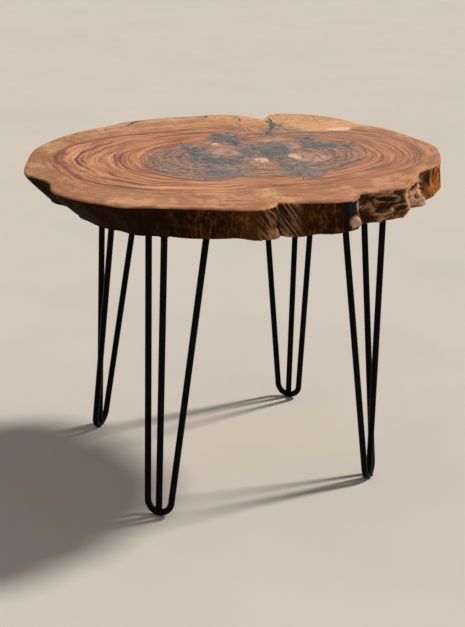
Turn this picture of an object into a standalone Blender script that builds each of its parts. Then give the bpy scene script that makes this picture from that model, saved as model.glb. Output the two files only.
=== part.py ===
"""Coffee table: a live-edge slice of a log on four three-rod hairpin legs.

Metres, +Z up. The origin is on the floor under the middle of the slab, +X along the slab's length
and -Y towards the front. Each leg is built once, in its own frame: foot at the origin, +Y pointing
outwards from the table, and is then placed four times.
"""

import math

import bmesh
import bpy
from mathutils import Vector

# Slab
SLAB_LENGTH = 0.698
SLAB_WIDTH = 0.584
SLAB_THICKNESS = 0.050
ARRIS = 0.0025
RIM_STEP = 0.012

# Natural edge
RIDGE_COUNT = 38
RIDGE_SLANT = 0.8
RIDGE_FADE = 4
MARK_FADE = 8
UNDERCUT_CURVE = 1.2

# Resin let into the top
RESIN_DEPTH = 0.010
RESIN_STEP = 0.009

# Hairpin leg
LEG_HEIGHT = 0.457
ROD_DIAMETER = 0.0095
BEND_RADIUS = 0.020
HAIRPIN_SPREAD = 0.095
HAIRPIN_LEAN = 0.052
BRACE_LEAN = 0.005
COPE_LIP = 0.0024

# Leg plate
PLATE_THICKNESS = 0.005
PLATE_MARGIN = 0.008

# Screws
SCREW_DIAMETER = 0.0048
SCREW_BITE = 0.022
SCREW_TIP = 0.006
HEAD_DIAMETER = 0.0092
HEAD_HEIGHT = 0.0032
HEAD_CROWN_DIAMETER = 0.0064
HEAD_CROWN_HEIGHT = 0.0014

# Clearances
SEAT_GAP = 0.0003
SCREW_HOLE_PLAY = 0.0004

# Facets
ROD_SIDES = 12
BEND_STEPS = 14
SCREW_SIDES = 12
CORNER_STEPS = 6
SHARP_EDGE = math.radians(35)

# The rim seen from above, counter-clockwise from the right end; it is stretched to the slab's size.
RIM = (
    (0.346, -0.002), (0.333, 0.088), (0.318, 0.125), (0.299, 0.153), (0.286, 0.193), (0.266, 0.228),
    (0.236, 0.252), (0.201, 0.266), (0.176, 0.267), (0.159, 0.248), (0.146, 0.232), (0.137, 0.252),
    (0.122, 0.272), (0.096, 0.285), (0.064, 0.290), (0.036, 0.287), (-0.014, 0.290), (-0.092, 0.275),
    (-0.124, 0.257), (-0.209, 0.215), (-0.284, 0.143), (-0.319, 0.073), (-0.346, -0.007),
    (-0.333, -0.044), (-0.326, -0.070), (-0.335, -0.117), (-0.324, -0.150), (-0.306, -0.179),
    (-0.284, -0.200), (-0.266, -0.221), (-0.229, -0.234), (-0.144, -0.268), (-0.114, -0.282),
    (-0.084, -0.289), (-0.056, -0.278), (-0.046, -0.265), (-0.029, -0.268), (0.036, -0.284),
    (0.064, -0.280), (0.084, -0.267), (0.096, -0.252), (0.161, -0.245), (0.182, -0.235),
    (0.198, -0.212), (0.241, -0.165), (0.274, -0.145), (0.303, -0.118), (0.339, -0.047),
)

# How far the underside's rim lies inside the top's, by bearing in degrees from +X.
UNDERCUT = (
    (-180, 0.041), (-158, 0.049), (-146, 0.037), (-134, 0.021), (-122, 0.011), (-112, 0.018),
    (-102, 0.000), (-94, -0.010), (-84, 0.001), (-70, -0.003), (-57, 0.005), (-47, 0.000),
    (-36, -0.014), (-25, -0.002), (-14, -0.004), (5, 0.004), (60, 0.012), (110, 0.015), (150, 0.028),
)

# How deep the upright ridges of the natural edge are, by bearing.
RIDGE_DEPTH = (
    (-180, 0.0015), (-125, 0.0015), (-105, 0.0040), (-85, 0.0040), (-70, 0.0030), (-30, 0.0040),
    (-10, 0.0015), (60, 0.0025), (120, 0.0020),
)

# Hollows (inwards, positive) and knobs of the torn front right edge:
# bearing, share of the height, reach along the rim, reach in height, depth.
EDGE_MARKS = (
    (-100, 0.70, 0.014, 0.016, 0.0060),
    (-75, 0.25, 0.010, 0.009, -0.0060),
    (-64, 0.72, 0.018, 0.011, 0.0080),
    (-56, 0.35, 0.022, 0.008, -0.0050),
    (-48, 0.60, 0.020, 0.007, 0.0070),
    (-41, 0.25, 0.022, 0.008, -0.0050),
    (-34, 0.55, 0.014, 0.014, 0.0080),
)

# Where rings of the edge lie, as shares of the height between the two eased arrises.
EDGE_LEVELS = (0.0, 0.16, 0.33, 0.50, 0.67, 0.84, 1.0)

# Filled voids seen from above, counter-clockwise; they stretch with the rim.
RESIN_FILLS = {
    "resin_fill_left": (
        (0.001, -0.042), (0.024, 0.003), (0.038, 0.038), (0.029, 0.044), (0.014, 0.014), (-0.014, 0.000),
        (-0.034, 0.016), (-0.040, 0.063), (-0.054, 0.086), (-0.069, 0.068), (-0.064, 0.033),
        (-0.078, -0.007), (-0.074, -0.052), (-0.099, -0.107), (-0.079, -0.126), (-0.034, -0.110),
        (-0.032, -0.060),
    ),
    "resin_fill_centre": (
        (0.074, -0.036), (0.082, -0.010), (0.100, 0.010), (0.108, 0.038), (0.098, 0.060), (0.076, 0.070),
        (0.056, 0.060), (0.046, 0.033), (0.048, 0.003), (0.046, -0.024), (0.058, -0.038),
    ),
    "resin_fill_front": (
        (0.064, -0.060), (0.046, -0.068), (0.036, -0.092), (0.038, -0.120), (0.046, -0.146),
        (0.062, -0.156), (0.082, -0.146), (0.096, -0.120), (0.093, -0.084), (0.084, -0.060),
    ),
    "resin_fill_right": (
        (0.156, 0.003), (0.172, 0.012), (0.188, 0.021), (0.222, 0.026), (0.222, 0.035), (0.188, 0.034),
        (0.178, 0.048), (0.166, 0.062), (0.163, 0.086), (0.156, 0.064), (0.138, 0.054), (0.126, 0.036),
        (0.138, 0.014),
    ),
    "resin_fill_rear": (
        (0.029, 0.062), (0.038, 0.076), (0.042, 0.090), (0.044, 0.110), (0.054, 0.130), (0.058, 0.144),
        (0.038, 0.154), (0.016, 0.144), (0.010, 0.110), (0.022, 0.090), (0.024, 0.074),
    ),
    "resin_fill_crack": (
        (0.106, 0.129), (0.110, 0.127), (0.125, 0.146), (0.140, 0.168), (0.155, 0.187), (0.153, 0.206),
        (0.150, 0.222), (0.144, 0.222), (0.144, 0.206), (0.141, 0.193), (0.132, 0.172), (0.119, 0.150),
    ),
}

# Legs: name, side along X, side along Y, and how far the foot stands in from the slab's box.
LEGS = (
    ("front_left", -1, -1, 0.152, 0.090),
    ("front_right", 1, -1, 0.176, 0.101),
    ("rear_right", 1, 1, 0.162, 0.132),
    ("rear_left", -1, 1, 0.167, 0.147),
)
LEG_TURN = math.radians(45)

ROD_RADIUS = ROD_DIAMETER / 2
PLATE_UNDERSIDE = LEG_HEIGHT - PLATE_THICKNESS
ROD_TOP = PLATE_UNDERSIDE - SEAT_GAP
SLAB_UNDERSIDE = LEG_HEIGHT + SEAT_GAP
SLAB_TOP = SLAB_UNDERSIDE + SLAB_THICKNESS
ROD_SEATS = (
    Vector((-HAIRPIN_SPREAD / 2, -HAIRPIN_LEAN)),
    Vector((HAIRPIN_SPREAD / 2, -HAIRPIN_LEAN)),
    Vector((0.0, -BRACE_LEAN)),
)
SCREW_SEATS = (
    ROD_SEATS[0].lerp(ROD_SEATS[1], 1 / 3),
    ROD_SEATS[0].lerp(ROD_SEATS[1], 2 / 3),
    ROD_SEATS[1].lerp(ROD_SEATS[2], 1 / 2),
    ROD_SEATS[2].lerp(ROD_SEATS[0], 1 / 2),
)


def make_material(name, colour, roughness, metallic):
    """A plain Principled material."""
    material = bpy.data.materials.new(name)
    material.use_nodes = True
    shader = material.node_tree.nodes["Principled BSDF"]
    shader.inputs["Base Color"].default_value = (*colour, 1.0)
    shader.inputs["Roughness"].default_value = roughness
    shader.inputs["Metallic"].default_value = metallic
    return material


def make_mesh(name, bm, material):
    """A mesh from a bmesh, with outward faces, smooth between its sharp edges."""
    bmesh.ops.recalc_face_normals(bm, faces=bm.faces)
    mesh = bpy.data.meshes.new(name)
    bm.to_mesh(mesh)
    bm.free()
    mesh.materials.append(material)
    mesh.shade_smooth()
    mesh.set_sharp_from_angle(angle=SHARP_EDGE)
    return mesh


def place(name, mesh, parent, location=(0.0, 0.0, 0.0)):
    """An object of this mesh, under its parent."""
    obj = bpy.data.objects.new(name, mesh)
    bpy.context.collection.objects.link(obj)
    obj.parent = parent
    obj.location = location
    return obj


def place_cutter(name, mesh, parent, location=(0.0, 0.0, 0.0)):
    """A helper that only cuts other objects."""
    cutter = place(name, mesh, parent, location)
    cutter.hide_render = True
    cutter.display_type = "WIRE"
    return cutter


def cut(obj, cutter):
    """Take the cutter's shape out of the object."""
    modifier = obj.modifiers.new(cutter.name, "BOOLEAN")
    modifier.operation = "DIFFERENCE"
    modifier.solver = "EXACT"
    modifier.object = cutter


def empty(name, parent=None, location=(0.0, 0.0, 0.0), turn=0.0):
    """An empty that carries other objects."""
    holder = bpy.data.objects.new(name, None)
    bpy.context.collection.objects.link(holder)
    holder.parent = parent
    holder.location = location
    holder.rotation_euler.z = turn
    return holder


def smooth_loop(points, step):
    """Points about one step apart on the closed Catmull-Rom curve through the given ones."""
    count = len(points)
    corners = [Vector(point) for point in points]
    loop = []
    for i, start in enumerate(corners):
        before = corners[i - 1]
        end = corners[(i + 1) % count]
        after = corners[(i + 2) % count]
        pieces = max(2, round((end - start).length / step))
        for piece in range(pieces):
            t = piece / pieces
            bend = 2 * before - 5 * start + 4 * end - after
            twist = 3 * (start - end) + after - before
            loop.append(start + 0.5 * t * ((end - before) + t * (bend + t * twist)))
    return loop


def offset_loop(loop, distance):
    """The counter-clockwise loop moved inwards by a distance."""
    count = len(loop)
    moved = []
    for i, point in enumerate(loop):
        along = (loop[(i + 1) % count] - loop[i - 1]).normalized()
        moved.append(point + distance * Vector((-along.y, along.x)))
    return moved


def box_of(loop):
    """The lowest and highest corners of a loop."""
    low = Vector((min(point.x for point in loop), min(point.y for point in loop)))
    high = Vector((max(point.x for point in loop), max(point.y for point in loop)))
    return low, high


def stretched(points, low, high):
    """Points of the drawn plan, centred on the slab and stretched to its length and width."""
    middle = (low + high) / 2
    along = SLAB_LENGTH / (high.x - low.x)
    across = SLAB_WIDTH / (high.y - low.y)
    return [Vector(((x - middle.x) * along, (y - middle.y) * across)) for x, y in points]


def by_bearing(table, bearing):
    """The table's value at a bearing in degrees, eased from one entry to the next round the slab."""
    for i, (start, value) in enumerate(table):
        end, following = table[(i + 1) % len(table)]
        span = (end - start) % 360
        part = ((bearing - start) % 360) / span
        if part < 1:
            ease = 0.5 - 0.5 * math.cos(math.pi * part)
            return value + (following - value) * ease
    return table[0][1]


def edge_inset(point, run, share):
    """How far the edge stands inside the top rim, at this share of the slab's height.

    run is how much of the way round the rim the point lies, from 0 to 1. The undercut fades out
    towards the top, the ridges slant as they climb, and each mark is a rounded bump or hollow.
    """
    bearing = math.degrees(math.atan2(point.y, point.x))
    inset = by_bearing(UNDERCUT, bearing) * (1 - share) ** UNDERCUT_CURVE
    wave = math.cos(2 * math.pi * (RIDGE_COUNT * run + RIDGE_SLANT * share))
    inset += by_bearing(RIDGE_DEPTH, bearing) * (0.5 - 0.5 * wave) * (1 - share ** RIDGE_FADE)
    for mark_bearing, mark_share, reach_along, reach_up, depth in EDGE_MARKS:
        turn = (bearing - mark_bearing + 180) % 360 - 180
        along = math.radians(turn) * point.length / reach_along
        up = (share - mark_share) * SLAB_THICKNESS / reach_up
        inset += depth * math.exp(-along * along - up * up) * (1 - share ** MARK_FADE)
    return inset


def edge_ring(rim, share, ease):
    """The slab's outline at a share of its height, drawn in by an arris's ease as well."""
    count = len(rim)
    ring = []
    for i, point in enumerate(rim):
        inset = edge_inset(point, i / count, share) + ease
        ring.append(point * (1 - inset / point.length))
    return ring


def loft(rings, heights):
    """A closed solid through rings of equal count, from the lowest to the highest."""
    bm = bmesh.new()
    loops = []
    for ring, height in zip(rings, heights):
        loops.append([bm.verts.new((point.x, point.y, height)) for point in ring])
    count = len(loops[0])
    for lower, upper in zip(loops, loops[1:]):
        for i in range(count):
            j = (i + 1) % count
            bm.faces.new((lower[i], lower[j], upper[j], upper[i]))
    bm.faces.new(reversed(loops[0]))
    bm.faces.new(loops[-1])
    return bm


def slab_mesh(rim, wood):
    """The slice: flat faces, eased arrises and the natural edge between them."""
    lowest = SLAB_UNDERSIDE + ARRIS
    highest = SLAB_TOP - ARRIS
    rings = [edge_ring(rim, 0.0, ARRIS)]
    heights = [SLAB_UNDERSIDE]
    for share in EDGE_LEVELS:
        rings.append(edge_ring(rim, share, 0.0))
        heights.append(lowest + share * (highest - lowest))
    rings.append(edge_ring(rim, 1.0, ARRIS))
    heights.append(SLAB_TOP)
    return make_mesh("slab_top", loft(rings, heights), wood)


def prism(loop, bottom, top):
    """An upright prism on a loop."""
    return loft((loop, loop), (bottom, top))


def arc(centre, radius, start, end, steps):
    """Points on an arc, both ends included."""
    turns = [start + (end - start) * i / steps for i in range(steps + 1)]
    return [centre + radius * Vector((math.cos(turn), math.sin(turn))) for turn in turns]


def circle(centre, radius, sides):
    """Points round a circle."""
    return arc(centre, radius, 0.0, 2 * math.pi, sides)[:-1]


def plate_outline():
    """A rounded triangle round the three rod seats, counter-clockwise."""
    outline = []
    for i, seat in enumerate(ROD_SEATS):
        arriving = seat - ROD_SEATS[i - 1]
        leaving = ROD_SEATS[(i + 1) % len(ROD_SEATS)] - seat
        start = math.atan2(arriving.y, arriving.x) - math.pi / 2
        sweep = (math.atan2(leaving.y, leaving.x) - math.atan2(arriving.y, arriving.x)) % (2 * math.pi)
        outline += arc(seat, ROD_RADIUS + PLATE_MARGIN, start, start + sweep, CORNER_STEPS)
    return outline


def plate_mesh(steel):
    """The leg plate, with a clear hole for each screw."""
    bm = bmesh.new()
    hole_radius = SCREW_DIAMETER / 2 + SCREW_HOLE_PLAY
    loops = [plate_outline()]
    loops += [circle(seat, hole_radius, SCREW_SIDES) for seat in SCREW_SEATS]
    edges = []
    for loop in loops:
        corners = [bm.verts.new((point.x, point.y, PLATE_UNDERSIDE)) for point in loop]
        edges += [bm.edges.new((corners[i - 1], corner)) for i, corner in enumerate(corners)]
    bmesh.ops.triangle_fill(bm, use_beauty=True, edges=edges)
    sheet = bmesh.ops.extrude_face_region(bm, geom=bm.faces[:])
    raised = [item for item in sheet["geom"] if isinstance(item, bmesh.types.BMVert)]
    bmesh.ops.translate(bm, verts=raised, vec=(0.0, 0.0, PLATE_THICKNESS))
    return make_mesh("leg_plate", bm, steel)


def hairpin_path():
    """The centre line of the bent rod: up one side, round the bend and up the other, in one leaning plane."""
    rise = ROD_TOP - ROD_RADIUS
    slope = math.atan2(HAIRPIN_LEAN, rise)
    up = Vector((0.0, -math.sin(slope), math.cos(slope)))
    foot = Vector((0.0, 0.0, ROD_RADIUS * math.cos(slope)))
    half = HAIRPIN_SPREAD / 2
    height = rise / math.cos(slope) - BEND_RADIUS
    reach = math.hypot(half, height)
    tangent = math.atan2(height, half) - math.acos(BEND_RADIUS / reach)
    flat = arc(Vector((0.0, BEND_RADIUS)), BEND_RADIUS, math.pi - tangent, 2 * math.pi + tangent, BEND_STEPS)
    top = Vector((half, height + BEND_RADIUS))
    flat = [Vector((-top.x, top.y)), *flat, top]
    path = [foot + Vector((point.x, 0.0, 0.0)) + point.y * up for point in flat]
    return path, up.cross(Vector((1.0, 0.0, 0.0)))


def rod_rings(path, normal, radius):
    """Rings of points round a path that lies in the plane with this normal."""
    rings = []
    last = len(path) - 1
    for i, point in enumerate(path):
        along = (path[min(i + 1, last)] - path[max(i - 1, 0)]).normalized()
        side = along.cross(normal)
        turns = [2 * math.pi * k / ROD_SIDES for k in range(ROD_SIDES)]
        rings.append([point + radius * (math.cos(a) * normal + math.sin(a) * side) for a in turns])
    return rings


def level_end(ring, along, height):
    """A rod's end ring, slid along the rod so that the end is cut level."""
    return [point + along * ((height - point.z) / along.z) for point in ring]


def tube(rings):
    """A closed solid through rings that lie anywhere."""
    bm = bmesh.new()
    loops = [[bm.verts.new(point) for point in ring] for ring in rings]
    for one, other in zip(loops, loops[1:]):
        for i in range(ROD_SIDES):
            bm.faces.new((one[i - 1], one[i], other[i], other[i - 1]))
    bm.faces.new(loops[0])
    bm.faces.new(reversed(loops[-1]))
    return bm


def hairpin_mesh(name, steel, radius):
    """The bent rod, both ends cut level under the plate."""
    path, normal = hairpin_path()
    rings = rod_rings(path, normal, radius)
    rings[0] = level_end(rings[0], path[0] - path[1], ROD_TOP)
    rings[-1] = level_end(rings[-1], path[-1] - path[-2], ROD_TOP)
    return make_mesh(name, tube(rings), steel)


def brace_mesh(steel):
    """The straight rod, from the middle of the bend to the plate; the bend's cope is cut from it."""
    bottom = Vector((0.0, 0.0, ROD_RADIUS + COPE_LIP))
    top = Vector((0.0, -BRACE_LEAN, ROD_TOP))
    path = (bottom, top)
    rings = rod_rings(path, Vector((1.0, 0.0, 0.0)), ROD_RADIUS)
    rings[-1] = level_end(rings[-1], top - bottom, ROD_TOP)
    return make_mesh("leg_brace", tube(rings), steel)


def turned(profile, sides):
    """A solid turned about Z from (radius, height) points, top to bottom, closed by a point at each end."""
    bm = bmesh.new()
    rings = []
    for radius, height in profile[1:-1]:
        ring = circle(Vector((0.0, 0.0)), radius, sides)
        rings.append([bm.verts.new((point.x, point.y, height)) for point in ring])
    ends = [bm.verts.new((0.0, 0.0, height)) for _, height in (profile[0], profile[-1])]
    for i in range(sides):
        bm.faces.new((ends[0], rings[0][i - 1], rings[0][i]))
        for upper, lower in zip(rings, rings[1:]):
            bm.faces.new((upper[i - 1], lower[i - 1], lower[i], upper[i]))
        bm.faces.new((ends[1], rings[-1][i], rings[-1][i - 1]))
    return bm


def screw_mesh(steel):
    """A pan-head wood screw, standing up from the bearing face of its head."""
    shank = SCREW_DIAMETER / 2
    head = HEAD_DIAMETER / 2
    tip = screw_tip_height()
    profile = (
        (0.0, tip),
        (shank, tip - SCREW_TIP),
        (shank, 0.0),
        (head, 0.0),
        (head, HEAD_CROWN_HEIGHT - HEAD_HEIGHT),
        (HEAD_CROWN_DIAMETER / 2, -HEAD_HEIGHT),
        (0.0, -HEAD_HEIGHT),
    )
    return make_mesh("leg_screw", turned(profile, SCREW_SIDES), steel)


def screw_tip_height():
    """How far the screw's tip stands above the bearing face of its head."""
    return SEAT_GAP + PLATE_THICKNESS + SEAT_GAP + SCREW_BITE


def pilot_mesh(wood):
    """The hole that a screw cuts in the slab, from below its underside to past the tip."""
    radius = SCREW_DIAMETER / 2 + SEAT_GAP
    loop = circle(Vector((0.0, 0.0)), radius, SCREW_SIDES)
    hole = prism(loop, SLAB_UNDERSIDE - SCREW_BITE, SLAB_UNDERSIDE + SCREW_BITE + SEAT_GAP)
    return make_mesh("pilot_hole", hole, wood)


def add_slab(table, wood, resin):
    """The slab, with its resin fills in their pockets."""
    drawn = smooth_loop(RIM, RIM_STEP)
    low, high = box_of(drawn)
    slab = place("slab_top", slab_mesh(stretched(drawn, low, high), wood), table)
    for name, points in RESIN_FILLS.items():
        pocket = smooth_loop(stretched(points, low, high), RESIN_STEP)
        floor = SLAB_TOP - RESIN_DEPTH
        cutter_mesh = make_mesh(name + "_pocket", prism(pocket, floor, SLAB_TOP + RESIN_DEPTH), wood)
        cut(slab, place_cutter(name + "_pocket", cutter_mesh, table))
        fill = prism(offset_loop(pocket, SEAT_GAP), floor + SEAT_GAP, SLAB_TOP)
        place(name, make_mesh(name, fill, resin), table)
    return slab


def add_legs(table, slab, steel, wood):
    """Four legs under the slab, each screwed into it."""
    hairpin = hairpin_mesh("leg_hairpin", steel, ROD_RADIUS)
    cope = hairpin_mesh("brace_cope", steel, ROD_RADIUS + SEAT_GAP)
    brace = brace_mesh(steel)
    plate = plate_mesh(steel)
    screw = screw_mesh(steel)
    pilot = pilot_mesh(wood)
    for name, side_x, side_y, inset_x, inset_y in LEGS:
        foot = (side_x * (SLAB_LENGTH / 2 - inset_x), side_y * (SLAB_WIDTH / 2 - inset_y), 0.0)
        outward = math.atan2(side_y * math.sin(LEG_TURN), side_x * math.cos(LEG_TURN))
        leg = empty("leg_" + name, table, foot, outward - math.pi / 2)
        place(leg.name + "_hairpin", hairpin, leg)
        place(leg.name + "_plate", plate, leg)
        cut(place(leg.name + "_brace", brace, leg), place_cutter(leg.name + "_cope", cope, leg))
        for number, seat in enumerate(SCREW_SEATS, 1):
            tail = f"_screw_{number}"
            place(leg.name + tail, screw, leg, (seat.x, seat.y, PLATE_UNDERSIDE - SEAT_GAP))
            cut(slab, place_cutter(leg.name + tail + "_pilot", pilot, leg, (seat.x, seat.y, 0.0)))


def main():
    """Clear the scene and build the table."""
    for obj in list(bpy.data.objects):
        bpy.data.objects.remove(obj)
    wood = make_material("oiled_walnut", (0.42, 0.21, 0.09), 0.45, 0.0)
    resin = make_material("slate_resin", (0.09, 0.10, 0.11), 0.30, 0.0)
    steel = make_material("black_enamel_steel", (0.012, 0.012, 0.013), 0.40, 0.0)
    table = empty("coffee_table")
    slab = add_slab(table, wood, resin)
    add_legs(table, slab, steel, wood)


if __name__ == "__main__":
    main()
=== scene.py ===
"""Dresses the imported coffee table: a live-edge slice of a log on four hairpin legs.

The slab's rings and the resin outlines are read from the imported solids, so every piece sits where
its solid does. Metres, +Z up, -Y towards the front of the table. Bearings are degrees round the
slab from +X.
"""

import itertools
import logging
import math
from dataclasses import dataclass, replace
from enum import Enum, IntEnum

import bpy
import numpy as np
from mathutils import Matrix, Vector


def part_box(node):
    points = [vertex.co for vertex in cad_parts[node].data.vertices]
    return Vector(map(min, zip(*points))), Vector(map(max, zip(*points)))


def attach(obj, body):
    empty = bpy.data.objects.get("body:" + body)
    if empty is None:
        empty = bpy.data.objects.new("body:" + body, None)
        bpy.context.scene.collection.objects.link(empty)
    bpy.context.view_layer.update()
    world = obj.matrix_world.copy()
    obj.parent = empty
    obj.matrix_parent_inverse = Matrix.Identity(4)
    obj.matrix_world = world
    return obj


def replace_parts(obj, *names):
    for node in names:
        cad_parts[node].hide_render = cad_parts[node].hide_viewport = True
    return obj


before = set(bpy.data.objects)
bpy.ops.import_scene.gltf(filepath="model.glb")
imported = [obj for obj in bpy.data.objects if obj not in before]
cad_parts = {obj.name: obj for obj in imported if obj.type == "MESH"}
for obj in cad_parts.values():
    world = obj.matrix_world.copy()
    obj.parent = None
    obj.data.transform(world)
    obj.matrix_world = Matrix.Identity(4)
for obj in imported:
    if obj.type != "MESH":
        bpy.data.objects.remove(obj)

LOG = logging.getLogger("coffee_table")
BODY = "root"

Colour = tuple[float, float, float]
Skin = tuple[np.ndarray, list]
Socket = bpy.types.NodeSocket


class Slot(Enum):
    """The material slots."""

    WOOD = "slab_wood"
    RESIN = "resin"
    STEEL = "leg_steel"
    SCREW = "screw_steel"


class SlabFace(IntEnum):
    """The slab's kinds of face, in the order of its materials."""

    TOP = 0
    EDGE = 1
    UNDER = 2


class Corner(Enum):
    """The table's corners: node name, sides along X and Y, and the foot's insets from the slab's box."""

    FRONT_LEFT = ("front_left", (-1, -1), (0.152, 0.090))
    FRONT_RIGHT = ("front_right", (1, -1), (0.176, 0.101))
    REAR_RIGHT = ("rear_right", (1, 1), (0.162, 0.132))
    REAR_LEFT = ("rear_left", (-1, 1), (0.167, 0.147))


# Number fields

HASH_PRIMES = (73856093, 19349663, 83492791)
HASH_SEED_STEP = 7919
HASH_FACTOR = 1274126177
HASH_SHIFT = 104729
HASH_MASK = 0x7FFFFFFF


def ease(value: np.ndarray, low: float, high: float) -> np.ndarray:
    """Smooth step from 0 at low to 1 at high: 3t² - 2t³."""
    t = np.clip((value - low) / (high - low), 0.0, 1.0)
    return t * t * (3.0 - 2.0 * t)


def lattice(cells: np.ndarray, seed: int) -> np.ndarray:
    """A fixed number from -1 to 1 for each whole-numbered cell, by mixing the bits of its place.

    Args:
        cells: Whole coordinates, (..., 3).
        seed: Picks one of many fields.

    Returns:
        One number for each cell.
    """
    mixed = (cells.astype(np.int64) * np.array(HASH_PRIMES)).sum(-1) + seed * HASH_SEED_STEP
    mixed = (mixed ^ (mixed >> 13)) & HASH_MASK
    mixed = (mixed * HASH_FACTOR + HASH_SHIFT) & HASH_MASK
    mixed = mixed ^ (mixed >> 15)
    return mixed / (HASH_MASK // 2) - 1.0


def smooth_noise(points: np.ndarray, seed: int) -> np.ndarray:
    """Value noise: the eight lattice numbers round each point, blended by eased distances.

    Args:
        points: Places in units of one lattice cell, (..., 3).
        seed: Picks the field.

    Returns:
        Noise from -1 to 1.
    """
    base = np.floor(points)
    part = ease(points - base, 0.0, 1.0)
    total = np.zeros(points.shape[:-1])
    for corner in itertools.product((0, 1), repeat=3):
        weight = np.prod(np.where(np.array(corner) == 1, part, 1.0 - part), axis=-1)
        total += weight * lattice(base + np.array(corner), seed)
    return total


def rough_noise(points: np.ndarray, octaves: int, seed: int, ridged: bool = False) -> np.ndarray:
    """Noise summed over octaves, each twice as fine and half as strong as the one before.

    Args:
        points: Places in units of the coarsest cell, (..., 3).
        octaves: How many fields are summed.
        seed: Picks the fields.
        ridged: Folds each field to one minus twice its size, which leaves sharp crests at 1.

    Returns:
        Noise from about -1 to 1.
    """
    total = np.zeros(points.shape[:-1])
    for k in range(octaves):
        field = smooth_noise(points * 2.0**k, seed + k)
        total += (1.0 - 2.0 * np.abs(field) if ridged else field) * 0.5**k
    return total / (2.0 - 0.5 ** (octaves - 1))


def flat_noise(plan: np.ndarray, cell: float, octaves: int, seed: int) -> np.ndarray:
    """Rough noise over plan points, (..., 2), with patches of one cell, in metres, and finer ones."""
    return rough_noise(raised(plan, 0.0) / cell, octaves, seed)


# Curves and loops

MILLIMETRES = 1000.0
LOOP_FINENESS = 24
CROWD_FADE = 6.0


def metres(rows: tuple) -> np.ndarray:
    """Rows of millimetres as an array of metres."""
    return np.array(rows) / MILLIMETRES


def unit(vectors: np.ndarray) -> np.ndarray:
    """Vectors along the last axis, each scaled to a length of 1."""
    return vectors / np.linalg.norm(vectors, axis=-1, keepdims=True)


def spokes(turns: np.ndarray) -> np.ndarray:
    """Unit plan vectors at these turns, (..., 2)."""
    return np.stack((np.cos(turns), np.sin(turns)), axis=-1)


def full_turn(count: int) -> np.ndarray:
    """So many equal turns round a circle, in radians."""
    return np.arange(count) * 2.0 * np.pi / count


def raised(plan: np.ndarray, height: object) -> np.ndarray:
    """Plan points, (..., 2), lifted to one height or to a height for each, (..., 3)."""
    return np.concatenate((plan, np.broadcast_to(height, plan.shape[:-1])[..., None]), axis=-1)


def cubic(before: np.ndarray, start: np.ndarray, end: np.ndarray, after: np.ndarray, t: np.ndarray) -> np.ndarray:
    """Catmull-Rom curve between start and end: a cubic whose slope at each is half the chord round it."""
    bend, twist = 2.0 * before - 5.0 * start + 4.0 * end - after, 3.0 * (start - end) + after - before
    return start + 0.5 * t * ((end - before) + t * (bend + t * twist))


def on_loop(points: np.ndarray, at: np.ndarray) -> np.ndarray:
    """The closed Catmull-Rom curve through points, read at fractional positions.

    Args:
        points: Loop or stack of loops, (..., n, d).
        at: Positions counted in points, (m,).

    Returns:
        Points on the curve, (..., m, d).
    """
    count = points.shape[-2]
    first = np.floor(at).astype(int)
    four = [points[..., (first + k) % count, :] for k in (-1, 0, 1, 2)]
    return cubic(*four, (at - first)[:, None])


def on_line(points: np.ndarray, at: np.ndarray) -> np.ndarray:
    """The open Catmull-Rom curve through points, read at fractional positions; its ends are held.

    Args:
        points: Line of points or of stacked rows, (n, ...).
        at: Positions counted in points, (m,).

    Returns:
        Points on the curve, (m, ...).
    """
    last = len(points) - 1
    first = np.clip(np.floor(at).astype(int), 0, last - 1)
    four = [points[np.clip(first + k, 0, last)] for k in (-1, 0, 1, 2)]
    return cubic(*four, (at - first).reshape((-1,) + (1,) * (points.ndim - 1)))


def even_places(loop: np.ndarray, count: int, crowd: tuple = (0.0, 0.0, 0.0)) -> np.ndarray:
    """Positions on a closed curve that lie equal lengths apart, or closer between two bearings.

    Args:
        loop: The curve's points, (n, 2).
        count: How many positions.
        crowd: The two bearings, and how many more positions lie between them in a length that
            elsewhere holds one.

    Returns:
        Fractional positions for on_loop, (count,).
    """
    fine = np.linspace(0.0, len(loop), len(loop) * LOOP_FINENESS + 1)
    drawn = on_loop(loop, fine)
    start, end, extra = crowd
    bearing = np.degrees(np.arctan2(drawn[1:, 1], drawn[1:, 0]))
    inside = ease(bearing, start, start + CROWD_FADE) * ease(bearing, end, end - CROWD_FADE)
    step = np.linalg.norm(np.diff(drawn, axis=0), axis=1) * (1.0 + extra * inside)
    run = np.concatenate(((0.0,), np.cumsum(step)))
    return np.interp(np.arange(count) * run[-1] / count, run, fine)


def outward(loop: np.ndarray) -> np.ndarray:
    """Unit normals, (n, 2), out of a counter-clockwise loop: the tangent turned a quarter right."""
    along = unit(np.roll(loop, -1, axis=0) - np.roll(loop, 1, axis=0))
    return np.stack((along[:, 1], -along[:, 0]), axis=1)


def stepped(loop: np.ndarray, levels: list) -> np.ndarray:
    """A loop drawn inwards along its normal and set at heights, one row for each.

    Args:
        loop: Closed loop of plan points, counter-clockwise, (n, 2).
        levels: How far in and how high each row lies, from the lowest to the highest.

    Returns:
        Rows of points, (rows, n, 3).
    """
    normal = outward(loop)
    return np.stack([raised(loop - normal * inset, height) for inset, height in levels])


# Pieces


def cad_corners(node: str) -> tuple[np.ndarray, np.ndarray]:
    """A solid's corners, each listed once.

    Args:
        node: The solid's node.

    Returns:
        Corners, (n, 3), and the number of the corner that each vertex of its mesh lies on.
    """
    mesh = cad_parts[node].data
    flat = np.empty(len(mesh.vertices) * 3, np.float32)
    mesh.vertices.foreach_get("co", flat)
    places = np.round(flat.reshape(-1, 3).astype(float), 6)
    corners, same = np.unique(places, axis=0, return_inverse=True)
    return corners, same.reshape(-1)


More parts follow.
